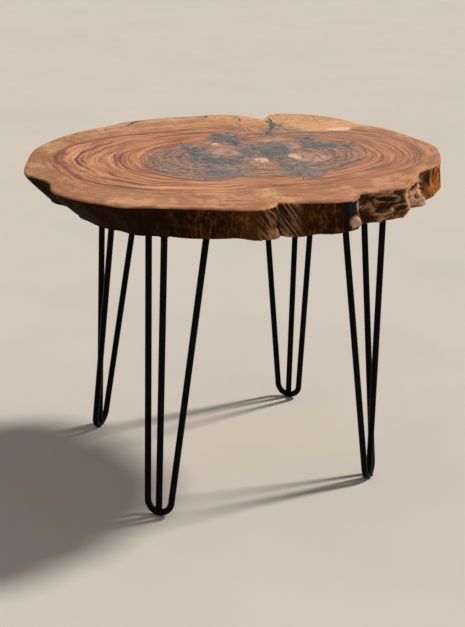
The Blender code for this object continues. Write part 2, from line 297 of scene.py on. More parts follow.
def wrapped_quads(rows: int, columns: int) -> np.ndarray:
    """Faces of a grid whose columns close on themselves; they face outwards where rows climb and
    columns run counter-clockwise.

    Args:
        rows: Rows of vertices.
        columns: Vertices in a row.

    Returns:
        Vertex numbers, (faces, 4).
    """
    row, column = np.meshgrid(np.arange(rows - 1) * columns, np.arange(columns), indexing="ij")
    beside = (column + 1) % columns
    corners = (row + column, row + beside, row + columns + beside, row + columns + column)
    return np.stack(corners, axis=-1).reshape(-1, 4)


def coat_solid(points: np.ndarray) -> Skin:
    """A closed skin over rows of points, with one flat face at each end.

    Args:
        points: Rows from the lowest to the highest, (rows, columns, 3).

    Returns:
        Vertices, (n, 3), and faces.
    """
    rows, columns = points.shape[:2]
    faces = wrapped_quads(rows, columns).tolist()
    faces.append(list(range(columns))[::-1])
    faces.append(list(range((rows - 1) * columns, rows * columns)))
    return points.reshape(-1, 3), faces


def merged(parts: list) -> Skin:
    """Several skins as one.

    Args:
        parts: Pairs of vertices and faces.

    Returns:
        Vertices and faces of them all.
    """
    starts = np.cumsum([0] + [len(points) for points, _ in parts]).tolist()
    faces = [[corner + start for corner in face] for (_, part), start in zip(parts, starts) for face in part]
    return np.concatenate([points for points, _ in parts]), faces


def shown(name: str, data: bpy.types.ID) -> bpy.types.Object:
    """A new object in the scene.

    Args:
        name: Its name.
        data: Its mesh, camera or light.

    Returns:
        The object.
    """
    thing = bpy.data.objects.new(name, data)
    bpy.context.scene.collection.objects.link(thing)
    return thing


def new_mesh(name: str, skin: Skin, materials: list) -> bpy.types.Mesh:
    """A mesh of a skin.

    Args:
        name: Its name.
        skin: Vertices in metres, (n, 3), and faces.
        materials: Its materials in slot order.

    Returns:
        The mesh.
    """
    mesh = bpy.data.meshes.new(name)
    mesh.from_pydata(skin[0].tolist(), [], skin[1])
    for material in materials:
        mesh.materials.append(material)
    return mesh


def make_piece(name: str, skin: Skin, materials: list, crease: float = 40.0) -> bpy.types.Object:
    """A finished piece at the origin, smooth between its creases, riding on the table.

    Args:
        name: The piece's name.
        skin: Vertices and faces.
        materials: Its materials in slot order.
        crease: Edges sharper than this many degrees stay sharp.

    Returns:
        The new object.
    """
    mesh = new_mesh(name, skin, materials)
    mesh.shade_smooth()
    mesh.set_sharp_from_angle(angle=math.radians(crease))
    piece = shown(name, mesh)
    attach(piece, BODY)
    return piece


def give_values(piece: bpy.types.Object, values: dict) -> None:
    """Store numbers or vectors for each vertex under names that materials read.

    Args:
        piece: The piece.
        values: Numbers (n,) or vectors (n, 3), by name.
    """
    for name, array in values.items():
        kind, key = ("FLOAT", "value") if array.ndim == 1 else ("FLOAT_VECTOR", "vector")
        attribute = piece.data.attributes.new(name, kind, "POINT")
        attribute.data.foreach_set(key, array.astype(np.float32).ravel())


# Nodes

NUMBER, VECTOR, COLOUR = "NodeSocketFloat", "NodeSocketVector", "NodeSocketColor"


class NodeSheet:
    """Lays nodes into one tree and joins their sockets."""

    def __init__(self, tree: bpy.types.NodeTree) -> None:
        """Work in this tree."""
        self.tree = tree

    def feed(self, socket: Socket, value: object) -> None:
        """Join a socket to another, or set its own value; a colour of three numbers gets full alpha.

        Args:
            socket: The input socket.
            value: An output socket, a number, a vector or a colour.
        """
        if isinstance(value, bpy.types.NodeSocket):
            self.tree.links.new(value, socket)
        elif socket.type == "RGBA" and len(value) == 3:
            socket.default_value = (*value, 1.0)
        else:
            socket.default_value = value

    def add(self, kind: str, *values: object, **settings: object) -> bpy.types.Node:
        """A new node.

        Args:
            kind: Its type.
            values: What its first inputs take, in order.
            settings: Its own settings.

        Returns:
            The node.
        """
        node = self.tree.nodes.new(kind)
        for name, value in settings.items():
            setattr(node, name, value)
        for socket, value in zip(node.inputs, values):
            self.feed(socket, value)
        return node

    def fill(self, node: bpy.types.Node, **values: object) -> bpy.types.Node:
        """Feed inputs by name, with _ for a space.

        Args:
            node: The node.
            values: What each input takes.

        Returns:
            The same node.
        """
        for name, value in values.items():
            self.feed(node.inputs[name.replace("_", " ")], value)
        return node

    def group(self, tree: bpy.types.NodeTree, **values: object) -> bpy.types.NodeOutputs:
        """Outputs of a node group, whose inputs are fed by name."""
        return self.fill(self.add("ShaderNodeGroup", node_tree=tree), **values).outputs

    def place(self) -> Socket:
        """Object coordinates, which are the table's own frame."""
        return self.add("ShaderNodeTexCoord").outputs["Object"]

    def number(self, name: str) -> Socket:
        """A piece's number attribute."""
        return self.add("ShaderNodeAttribute", attribute_name=name).outputs["Fac"]

    def vector(self, name: str) -> Socket:
        """A piece's vector attribute."""
        return self.add("ShaderNodeAttribute", attribute_name=name).outputs["Vector"]

    def math(self, operation: str, *values: object) -> Socket:
        """One sum of numbers."""
        return self.add("ShaderNodeMath", *values, operation=operation).outputs[0]

    def times(self, first: object, second: object) -> Socket:
        """The product of two numbers."""
        return self.math("MULTIPLY", first, second)

    def stretch(self, vector: Socket, factors: Colour) -> Socket:
        """A vector with each axis scaled."""
        return self.add("ShaderNodeVectorMath", vector, factors, operation="MULTIPLY").outputs[0]

    def joined(self, first: object, second: object) -> Socket:
        """The sum of two vectors."""
        return self.add("ShaderNodeVectorMath", first, second, operation="ADD").outputs[0]

    def along(self, value: object, sideways: object = 0.0, up: object = 0.0) -> Socket:
        """A vector of three numbers."""
        return self.add("ShaderNodeCombineXYZ", value, sideways, up).outputs[0]

    def noise(self, vector: Socket, scale: object, detail: float = 2.0, roughness: float = 0.5) -> Socket:
        """Noise from 0 to 1, its patches about 1/scale across."""
        node = self.add("ShaderNodeTexNoise")
        return self.fill(node, Vector=vector, Scale=scale, Detail=detail, Roughness=roughness).outputs[0]

    def span(self, value: Socket, low: float, high: float, start: float = 0.0, end: float = 1.0) -> Socket:
        """Start below low, end above high, and an eased step between."""
        node = self.add("ShaderNodeMapRange", value, low, high, start, end, interpolation_type="SMOOTHSTEP")
        return node.outputs[0]

    def sheen(self, noise: Socket, low: float, high: float) -> Socket:
        """Roughness that follows a noise from low to high."""
        return self.span(noise, 0.3, 0.7, low, high)

    def shifted(self, value: Socket, noise: Socket, reach: float) -> Socket:
        """A number moved up and down by noise, half the reach each way."""
        return self.math("ADD", value, self.times(self.math("SUBTRACT", noise, 0.5), reach))

    def blend(self, share: object, first: object, second: object) -> Socket:
        """Two colours mixed.

        Args:
            share: How much of the second there is, from 0 to 1.
            first: The first colour.
            second: The second colour.

        Returns:
            The mixed colour.
        """
        node = self.add("ShaderNodeMix", share, data_type="RGBA")
        self.feed(node.inputs[6], first)
        self.feed(node.inputs[7], second)
        return node.outputs[2]

    def over(self, base: object, tint: object, value: Socket, *steps: float) -> Socket:
        """A colour laid over another by a value's span, whose steps are low, high, start and end."""
        return self.blend(self.span(value, *steps), base, tint)

    def bump(self, height: Socket, strength: float, distance: float) -> Socket:
        """A normal bent by a height."""
        node = self.add("ShaderNodeBump")
        return self.fill(node, Height=height, Strength=strength, Distance=distance).outputs[0]


def new_group(name: str, inputs: dict, outputs: dict) -> tuple[NodeSheet, list, bpy.types.Node]:
    """An empty shader node group.

    Args:
        name: The group's name.
        inputs: Socket type of each input, by name.
        outputs: Socket type of each output, by name.

    Returns:
        Its sheet, the sockets of its inputs in order, and its output node.
    """
    tree = bpy.data.node_groups.new(name, "ShaderNodeTree")
    for side, sockets in (("INPUT", inputs), ("OUTPUT", outputs)):
        for label, kind in sockets.items():
            tree.interface.new_socket(label, in_out=side, socket_type=kind)
    sheet = NodeSheet(tree)
    entry = sheet.add("NodeGroupInput")
    return sheet, [entry.outputs[label] for label in inputs], sheet.add("NodeGroupOutput")


def new_material(name: str) -> tuple[bpy.types.Material, NodeSheet, bpy.types.Node]:
    """A material with one Principled shader.

    Args:
        name: The material's name.

    Returns:
        The material, its sheet and its shader.
    """
    material = bpy.data.materials.new(name)
    material.use_nodes = True
    return material, NodeSheet(material.node_tree), material.node_tree.nodes["Principled BSDF"]


def growth_ring_group() -> bpy.types.NodeTree:
    """Rings of the log, for the sanded top and the sawn underside.

    The ring count is moved by slow noise, so rings waver and are unevenly spaced. A line darkens
    over the last part of each ring and ends at once, as late wood does; each ring has its own
    strength and fades in and out along its sweep. Three to four rings make one bold ring, whose
    line is wider. Figure is noise that is fine across the rings and long along them, and Band is the
    same over several rings. Rays are fine streaks from the heart outwards.

    Returns:
        The node group.
    """
    sheet, (ring, sweep, place), leave = new_group(
        "growth_rings",
        {"Ring": NUMBER, "Sweep": VECTOR, "Place": VECTOR},
        {"Line": NUMBER, "Figure": NUMBER, "Band": NUMBER, "Ray": NUMBER},
    )
    wavering = sheet.shifted(ring, sheet.noise(place, 12.0, 3.0), 3.4)
    wavering = sheet.shifted(wavering, sheet.noise(place, 55.0), 1.0)
    uneven = sheet.shifted(wavering, sheet.noise(sheet.along(wavering), 0.55, 1.0), 2.4)

    def late_wood(count: Socket, start: float, least: float) -> Socket:
        """Lines over the last part of each whole count.

        Args:
            count: The ring count.
            start: Share of a ring at which its line starts.
            least: Strength that the weakest line keeps.

        Returns:
            The lines' strength, from 0 to 1.
        """
        whole, part = sheet.math("FLOOR", count), sheet.math("FRACT", count)
        strength = sheet.fill(sheet.add("ShaderNodeTexWhiteNoise", noise_dimensions="1D"), W=whole)
        swept = sheet.joined(sweep, sheet.along(0.0, 0.0, sheet.times(whole, 3.7)))
        fade = sheet.span(sheet.noise(swept, 2.2), 0.34, 0.58, least, 1.0)
        late = sheet.times(sheet.span(part, start, 0.88), sheet.span(part, 0.94, 1.0, 1.0, 0.0))
        force = sheet.times(fade, sheet.span(strength.outputs["Value"], 0.1, 0.7, least, 1.0))
        return sheet.times(late, force)

    fine = late_wood(uneven, 0.44, 0.36)
    bold = late_wood(sheet.math("DIVIDE", uneven, 3.3), 0.74, 0.42)
    streaks = sheet.joined(sheet.stretch(sweep, (3.4, 3.4, 0.0)), sheet.along(0.0, 0.0, wavering))
    climb = sheet.along(0.0, 0.0, sheet.times(ring, 0.12))
    sheet.fill(
        leave,
        Line=sheet.math("MAXIMUM", sheet.times(fine, 0.88), sheet.times(bold, 0.90)),
        Figure=sheet.noise(streaks, 0.62, 6.0, 0.68),
        Band=sheet.noise(streaks, 0.24, 4.0, 0.6),
        Ray=sheet.noise(sheet.joined(sheet.stretch(sweep, (70.0, 70.0, 0.0)), climb), 1.0),
    )
    return leave.id_data


def handling_group() -> bpy.types.NodeTree:
    """Uneven tone and fine grain of a worked surface, for resin, powder coat and zinc.

    Returns:
        The node group, with Cloud for slow changes and Grain for the finest.
    """
    sheet, (place, cloud_scale, grain_scale), leave = new_group(
        "handling",
        {"Place": VECTOR, "Cloud Scale": NUMBER, "Grain Scale": NUMBER},
        {"Cloud": NUMBER, "Grain": NUMBER},
    )
    sheet.fill(leave, Cloud=sheet.noise(place, cloud_scale, 4.0), Grain=sheet.noise(place, grain_scale))
    return leave.id_data


# Finishes

STAIN_COVER = 0.92
SOOT_COVER = 0.7
FIGURE_REACH = 0.6


@dataclass(frozen=True)
class MineralStain:
    """Slate-grey stain that runs out of the resin into the wood round it.

    Depth is 1 in the resin and falls to 0 away from it. It is moved up in the ovals where the stain
    lies thickest, down outside them, and both ways by noise: above a level the stain is slate, finer
    noise sets dark flecks in it, and the peaks of the finest are pale grains. Outside the ovals it is
    mottled. The resin and the wood read the same noise at the same place, so the stain crosses an
    inlay's outline unbroken.
    """

    slate: Colour = (0.122, 0.134, 0.148)
    ash: Colour = (0.270, 0.216, 0.188)
    char: Colour = (0.066, 0.056, 0.053)
    dust: Colour = (0.44, 0.32, 0.26)
    grain: Colour = (0.66, 0.54, 0.46)

    # Middles and half lengths of the thickest ovals, in millimetres.
    ovals: tuple = (
        (-50, 28, 18, 35), (-34, -27, 33, 24), (27, 21, 16, 24), (32, 105, 13, 48),
        (74, 18, 30, 44), (156, 27, 27, 26), (-66, -89, 14, 20),
    )

    def group(self) -> bpy.types.NodeTree:
        """The stain as a node group.

        Returns:
            The group, with the masks Slate and Soot and the stain's colour as Tone.
        """
        sheet, (depth, place), leave = new_group(
            "mineral_stain", {"Depth": NUMBER, "Place": VECTOR}, {"Slate": NUMBER, "Soot": NUMBER, "Tone": COLOUR},
        )
        grit, speck = sheet.noise(place, 66.0, 6.0, 0.72), sheet.noise(place, 230.0, 4.0, 0.7)
        cloud, mottle = sheet.noise(place, 27.0, 5.0, 0.65), sheet.noise(place, 95.0, 4.0, 0.6)
        thick = 0.0
        for x, y, wide, deep in metres(self.ovals).tolist():
            offset = sheet.stretch(sheet.joined(place, (-x, -y, 0.0)), (1.0 / wide, 1.0 / deep, 0.0))
            away = sheet.add("ShaderNodeVectorMath", offset, operation="LENGTH").outputs["Value"]
            inside = sheet.span(sheet.shifted(away, grit, 1.6), 0.50, 1.50, 1.0, 0.0)
            thick = sheet.math("MAXIMUM", inside, thick)
        depth = sheet.shifted(depth, thick, 0.14)
        loose = sheet.span(thick, 0.0, 1.0, 1.0, 0.45)
        tone = sheet.over(self.slate, self.ash, sheet.shifted(cloud, thick, -0.08), 0.40, 0.60)
        tone = sheet.blend(sheet.times(sheet.span(mottle, 0.49, 0.60, 0.0, 0.72), loose), tone, self.char)
        tone = sheet.blend(sheet.times(sheet.span(mottle, 0.39, 0.49, 0.62, 0.0), loose), tone, self.dust)
        sheet.fill(
            leave,
            Slate=sheet.span(sheet.shifted(depth, grit, 3.0), 0.48, 0.86),
            Soot=sheet.span(sheet.shifted(depth, speck, 3.4), 0.95, 1.30),
            Tone=sheet.over(tone, self.grain, sheet.noise(place, 260.0), 0.62, 0.70, 0.0, 0.6),
        )
        return leave.id_data


@dataclass(frozen=True)
class SliceFinish:
    """The sanded and oiled end grain of the slice."""

    rings: bpy.types.NodeTree
    mineral: bpy.types.NodeTree
    sap_pale: Colour = (0.69, 0.345, 0.166)
    sap_deep: Colour = (0.37, 0.158, 0.078)
    sap_gold: Colour = (0.84, 0.505, 0.246)
    # Brown of the sapwood's left end, partly painted shade.
    sap_brown_and_painted_shade: Colour = (0.36, 0.162, 0.060)
    sap_fleck: Colour = (0.27, 0.108, 0.034)
    heart_tan: Colour = (0.82, 0.398, 0.198)
    heart_amber: Colour = (0.61, 0.256, 0.119)
    heart_red: Colour = (0.30, 0.112, 0.067)
    heart_plum: Colour = (0.385, 0.205, 0.152)
    ring_line: Colour = (0.070, 0.036, 0.034)
    stain_dark: Colour = (0.158, 0.113, 0.096)
    stain_pale: Colour = (0.46, 0.290, 0.207)
    island_deep: Colour = (0.31, 0.176, 0.133)
    island_pale: Colour = (0.61, 0.392, 0.286)
    soot: Colour = (0.055, 0.048, 0.046)
    cream: Colour = (0.96, 0.70, 0.49)
    sheen: tuple = (0.40, 0.52)
    gloss: float = 0.05

    def material(self) -> bpy.types.Material:
        """Rings over heartwood and sapwood, then the stain of the heart, the pale spots and the pores.

        Returns:
            The material.
        """
        material, sheet, shader = new_material("oiled_end_grain")
        place = sheet.place()
        rings = sheet.group(self.rings, Ring=sheet.number("ring"), Sweep=sheet.vector("sweep"), Place=place)
        line, figure, band, ray = (rings[name] for name in ("Line", "Figure", "Band", "Ray"))
        depth = sheet.shifted(sheet.number("depth"), figure, FIGURE_REACH)
        mineral = sheet.group(self.mineral, Depth=depth, Place=place)
        cloud, patch = sheet.noise(place, 9.0, 4.0), sheet.noise(place, 42.0, 5.0, 0.62)
        grit, pores = sheet.noise(place, 120.0, 5.0, 0.66), sheet.noise(place, 900.0, 2.0, 0.7)
        contrast, gold, calm = (sheet.number(name) for name in ("contrast", "gold", "calm"))

        heart = sheet.over(self.heart_red, self.heart_amber, figure, 0.38, 0.54)
        heart = sheet.over(heart, self.heart_tan, figure, 0.50, 0.66)
        fair = sheet.times(sheet.number("fair"), sheet.span(figure, 0.44, 0.60, 0.0, 0.55))
        heart = sheet.blend(fair, heart, self.heart_tan)
        heart = sheet.blend(sheet.math("SUBTRACT", 0.95, contrast), heart, self.heart_plum)
        heart = sheet.blend(sheet.times(line, contrast), heart, self.ring_line)

        banded = sheet.shifted(sheet.shifted(sheet.shifted(figure, figure, 1.0), band, 0.8), patch, 0.9)
        sap = sheet.over(self.sap_deep, self.sap_pale, banded, 0.32, 0.66)
        gilded = sheet.shifted(sheet.shifted(gold, cloud, 0.6), patch, 0.8)
        sap = sheet.over(sap, self.sap_gold, gilded, 0.15, 1.0, 0.0, 0.80)
        # Partly painted shade: the sapwood goes browner and darker towards the left end.
        sap = sheet.over(sap, self.sap_brown_and_painted_shade, sheet.shifted(calm, patch, 1.6), 0.30, 1.30, 0.0, 0.60)
        hushed = sheet.times(sheet.math("MAXIMUM", gold, calm), 0.52)
        sap = sheet.blend(sheet.times(line, sheet.math("SUBTRACT", 0.72, hushed)), sap, self.heart_red)
        sap = sheet.over(sap, self.sap_deep, sheet.shifted(grit, cloud, 0.6), 0.48, 0.66, 0.0, 0.58)
        blotch = sheet.noise(sheet.stretch(place, (1.0, 0.65, 1.0)), 26.0, 4.0, 0.60)
        dull = sheet.times(sheet.span(blotch, 0.48, 0.60, 0.0, 0.58), sheet.math("SUBTRACT", 1.0, gold))
        sap = sheet.blend(dull, sap, self.sap_deep)
        sap = sheet.over(sap, self.heart_tan, blotch, 0.36, 0.47, 0.45, 0.0)
        fleck = sheet.span(sheet.noise(place, 80.0, 5.0, 0.68), 0.46, 0.62, 0.0, 0.60)
        sap = sheet.blend(sheet.times(fleck, sheet.span(calm, 0.0, 1.0, 0.25, 1.0)), sap, self.sap_fleck)
        wood = sheet.over(heart, sap, sheet.shifted(sheet.number("sap"), patch, 0.7), 0.15, 0.90)

        smeared = sheet.over(self.stain_dark, self.stain_pale, sheet.shifted(grit, figure, 0.8), 0.36, 0.64)
        smeared = sheet.blend(sheet.times(line, 0.6), smeared, self.ring_line)
        stained = sheet.shifted(sheet.number("stain"), patch, 1.1)
        wood = sheet.over(wood, smeared, stained, 0.10, 0.85, 0.0, 0.85)
        sound = sheet.over(self.island_deep, self.island_pale, sheet.shifted(patch, grit, 0.7), 0.38, 0.60)
        sound = sheet.blend(sheet.times(line, 0.5), sound, self.heart_red)
        island = sheet.shifted(sheet.number("island"), patch, 1.2)
        wood = sheet.over(wood, sound, island, 0.15, 0.90, 0.0, 0.85)
        wood = sheet.blend(sheet.times(mineral["Slate"], STAIN_COVER), wood, mineral["Tone"])
        wood = sheet.blend(sheet.times(mineral["Soot"], SOOT_COVER), wood, self.soot)
        pale = sheet.shifted(sheet.number("cream"), grit, 2.6)
        wood = sheet.over(wood, self.cream, pale, 0.50, 1.25, 0.0, 0.80)

        wood = sheet.over(wood, self.heart_red, ray, 0.48, 0.72, 0.0, 0.24)
        wood = sheet.over(wood, self.ring_line, pores, 0.54, 0.72, 0.0, 0.30)
        wood = sheet.over(wood, self.heart_red, cloud, 0.45, 0.75, 0.0, 0.20)
        height = sheet.math("SUBTRACT", sheet.times(pores, -0.5), line)
        sheet.fill(
            shader,
            Base_Color=wood,
            Roughness=sheet.sheen(cloud, *self.sheen),
            Normal=sheet.bump(height, 0.12, 0.0004),
            Specular_IOR_Level=self.gloss,
        )
        return material


@dataclass(frozen=True)
class EdgeFinish:
    """The natural edge where the bark was taken off: dark skin with painted shade, torn fibre and clean split
    faces.
    """

    # Painted shade: the skin is darker than the edge's own colour, standing for the shade the edge lies in.
    skin: Colour = (0.0145, 0.0053, 0.0010)
    rust: Colour = (0.105, 0.037, 0.0080)
    gold: Colour = (0.30, 0.115, 0.028)
    # Painted shade: the dark of the torn edge's low places; the same colour also makes dark patches on the split
    # faces.
    recess: Colour = (0.046, 0.0205, 0.0110)
    ledge: Colour = (0.62, 0.312, 0.152)
    torn: Colour = (0.62, 0.345, 0.205)
    split: Colour = (0.52, 0.185, 0.037)
    blue: Colour = (0.0110, 0.0120, 0.0142)
    cream: Colour = (0.58, 0.36, 0.25)
    sheen: tuple = (0.55, 0.78)
    gloss: float = 0.02

    def material(self) -> bpy.types.Material:
        """Upright fibre streaks; painted shade in low places and a painted highlight on high places.

        Returns:
            The material.
        """
        material, sheet, shader = new_material("live_edge")
        run = sheet.vector("run")
        fibre = sheet.noise(sheet.stretch(run, (230.0, 230.0, 52.0)), 1.0, 6.0, 0.70)
        strand = sheet.noise(sheet.stretch(run, (420.0, 420.0, 90.0)), 1.0, 3.0, 0.6)
        patch = sheet.noise(run, 90.0, 6.0, 0.72)
        relief, bare, gilt = (sheet.number(name) for name in ("relief", "bare", "gilt"))

        ruddy = sheet.shifted(sheet.shifted(fibre, patch, 0.8), gilt, 0.5)
        skin = sheet.over(self.skin, self.rust, ruddy, 0.20, 0.85)
        glint = sheet.times(sheet.span(sheet.shifted(fibre, patch, 1.2), 0.46, 0.78), gilt)
        skin = sheet.blend(glint, skin, self.gold)
        # Painted shade and highlight: by the relief, torn wood takes the recess colour in low places and its pale
        # tone on high ones; bare moves where this step falls.
        high = sheet.shifted(sheet.shifted(relief, bare, 0.6), patch, 1.0)
        torn = sheet.over(self.recess, sheet.blend(bare, self.ledge, self.torn), high, 0.18, 0.86)
        torn = sheet.over(torn, self.rust, sheet.shifted(fibre, strand, 0.8), 0.44, 0.66, 0.0, 0.50)
        skin = sheet.blend(sheet.number("torn"), skin, torn)
        clean = sheet.over(self.split, self.rust, sheet.shifted(fibre, patch, 0.5), 0.42, 0.60)
        clean = sheet.over(clean, self.recess, patch, 0.54, 0.68, 0.0, 0.7)
        skin = sheet.blend(sheet.number("split"), skin, clean)
        skin = sheet.over(skin, self.blue, sheet.shifted(sheet.number("blue"), patch, 1.1), 0.20, 0.95)
        skin = sheet.over(skin, self.cream, sheet.shifted(sheet.number("chip"), patch, 1.5), 0.30, 0.85)
        height = sheet.math("ADD", fibre, sheet.times(strand, 0.45))
        sheet.fill(
            shader,
            Base_Color=skin,
            Roughness=sheet.sheen(patch, *self.sheen),
            Normal=sheet.bump(height, 0.7, 0.0022),
            Specular_IOR_Level=self.gloss,
        )
        return material


@dataclass(frozen=True)
class UndersideFinish:
    """The sawn, barely oiled underside."""

    rings: bpy.types.NodeTree
    pale: Colour = (0.40, 0.24, 0.12)
    brown: Colour = (0.25, 0.12, 0.06)
    ring_line: Colour = (0.10, 0.05, 0.035)
    kerf_pitch: float = 0.0032
    sheen: tuple = (0.62, 0.78)

    def material(self) -> bpy.types.Material:
        """Dull rings under straight saw marks.

        Returns:
            The material.
        """
        material, sheet, shader = new_material("sawn_underside")
        place = sheet.place()
        rings = sheet.group(self.rings, Ring=sheet.number("ring"), Sweep=sheet.vector("sweep"), Place=place)
        cloud = sheet.noise(place, 12.0, 4.0)
        wood = sheet.over(self.brown, self.pale, sheet.shifted(sheet.number("sap"), cloud, 0.7), 0.3, 0.75)
        wood = sheet.blend(sheet.times(rings["Line"], 0.6), wood, self.ring_line)
        marks = sheet.noise(sheet.stretch(place, (1.0 / self.kerf_pitch, 9.0, 1.0)), 1.0)
        wood = sheet.over(wood, self.brown, marks, 0.45, 0.7, 0.0, 0.35)
        sheet.fill(
            shader,
            Base_Color=wood,
            Roughness=sheet.sheen(cloud, *self.sheen),
            Normal=sheet.bump(marks, 0.4, 0.0006),
        )
        return material


@dataclass(frozen=True)
class ResinFinish:
    """Slate-grey tinted resin, sanded flush with the wood, whose rings show through it faintly."""

    handling: bpy.types.NodeTree
    mineral: bpy.types.NodeTree
    rings: bpy.types.NodeTree
    heart: tuple
    heart_rings: float
    name: str = "slate_resin"
    dust: Colour = (0.205, 0.132, 0.105)
    pale_dust: Colour = (0.350, 0.240, 0.186)
    soot: Colour = (0.055, 0.048, 0.046)
    shade: float = 0.0
    depth: float = 0.88
    front_depth: float = 0.68
    front: tuple = (-0.11, -0.03)
    rear_depth: float = 1.02
    rear: tuple = (0.02, 0.06)
    sheen: tuple = (0.38, 0.50)
    gloss: float = 0.08

    def depth_at(self, y: np.ndarray) -> np.ndarray:
        """How deep the stain goes along Y: less in front and more behind, with eased steps between."""
        mid = self.front_depth + (self.depth - self.front_depth) * ease(y, *self.front)
        return mid + (self.rear_depth - self.depth) * ease(y, *self.rear)

    def ringed(self, sheet: NodeSheet, place: Socket) -> bpy.types.NodeOutputs:
        """The growth rings of the heart's oval, counted by how far out a place lies in it.

        Args:
            sheet: The material's sheet.
            place: Object coordinates.

        Returns:
            The ring group's outputs.
        """
        (x, y), (wide, deep), power = self.heart
        offset = sheet.stretch(sheet.joined(place, (-x, -y, 0.0)), (1.0, 1.0, 0.0))
        sweep = sheet.add("ShaderNodeVectorMath", offset, operation="NORMALIZE").outputs[0]
        scaled = sheet.add("ShaderNodeSeparateXYZ", sheet.stretch(offset, (1.0 / wide, 1.0 / deep, 0.0)))
        powers = [sheet.math("POWER", sheet.math("ABSOLUTE", scaled.outputs[axis]), power) for axis in "XY"]
        share = sheet.math("POWER", sheet.math("ADD", *powers), 1.0 / power)
        return sheet.group(self.rings, Ring=sheet.times(share, self.heart_rings), Sweep=sweep, Place=place)

    def material(self) -> bpy.types.Material:
        """Slate with dark flecks; islands of brown wood dust sanded into it, more of them towards the front.

        Returns:
            The material.
        """
        material, sheet, shader = new_material(self.name)
        place = sheet.place()
        rings = self.ringed(sheet, place)
        y = sheet.add("ShaderNodeSeparateXYZ", place).outputs["Y"]
        depth = sheet.span(y, *self.front, self.front_depth, self.depth)
        depth = sheet.math("ADD", depth, sheet.span(y, *self.rear, 0.0, self.rear_depth - self.depth))
        depth = sheet.shifted(depth, rings["Figure"], FIGURE_REACH)
        mineral = sheet.group(self.mineral, Depth=depth, Place=place)
        touch = sheet.group(self.handling, Place=place, Cloud_Scale=48.0, Grain_Scale=420.0)
        tone = sheet.over(self.dust, self.pale_dust, rings["Figure"], 0.40, 0.60)
        tone = sheet.blend(sheet.times(mineral["Slate"], STAIN_COVER), tone, mineral["Tone"])
        tone = sheet.blend(sheet.times(rings["Line"], 0.45), tone, self.soot)
        dark = sheet.math("MAXIMUM", sheet.times(mineral["Soot"], SOOT_COVER), self.shade)
        sheet.fill(
            shader,
            Base_Color=sheet.blend(dark, tone, self.soot),
            Roughness=sheet.sheen(touch["Cloud"], *self.sheen),
            Normal=sheet.bump(touch["Grain"], 0.08, 0.0003),
            Specular_IOR_Level=self.gloss,
        )
        return material


@dataclass(frozen=True)
class CheckFinish:
    """The dark open checks and seams in the top, partly painted shade of the open gaps."""

    # Painted shade in part: near-black for the shade inside the open checks.
    black: Colour = (0.030, 0.024, 0.022)
    brown: Colour = (0.085, 0.050, 0.036)
    sheen: tuple = (0.6, 0.8)

    def material(self) -> bpy.types.Material:
        """Near-black, browner in places: painted shade of the open gaps together with the dark of the seams and
        marks.

        Returns:
            The material.
        """
        material, sheet, shader = new_material("open_checks")
        dust = sheet.noise(sheet.place(), 160.0, 4.0)
        tone = sheet.over(self.black, self.brown, dust, 0.4, 0.65)
        sheet.fill(shader, Base_Color=tone, Roughness=sheet.sheen(dust, *self.sheen))
        return material


@dataclass(frozen=True)
class SteelFinish:
    """Black finish on steel: satin powder coat on the legs, black zinc on the screws."""

    handling: bpy.types.NodeTree
    name: str
    deep: Colour
    worn: Colour
    sheen: tuple
    metallic: float
    gloss: float
    grain_scale: float

    def material(self) -> bpy.types.Material:
        """Near-black with a slow change of tone and the fine dimples of the coat.

        Returns:
            The material.
        """
        material, sheet, shader = new_material(self.name)
        touch = sheet.group(self.handling, Place=sheet.place(), Cloud_Scale=26.0, Grain_Scale=self.grain_scale)
        sheet.fill(
            shader,
            Base_Color=sheet.over(self.deep, self.worn, touch["Cloud"], 0.4, 0.75),
            Roughness=sheet.sheen(touch["Cloud"], *self.sheen),
            Normal=sheet.bump(touch["Grain"], 0.10, 0.0002),
            Metallic=self.metallic,
            Specular_IOR_Level=self.gloss,
        )
        return material


# Slab

PATCH_EDGE = (0.55, 1.25)


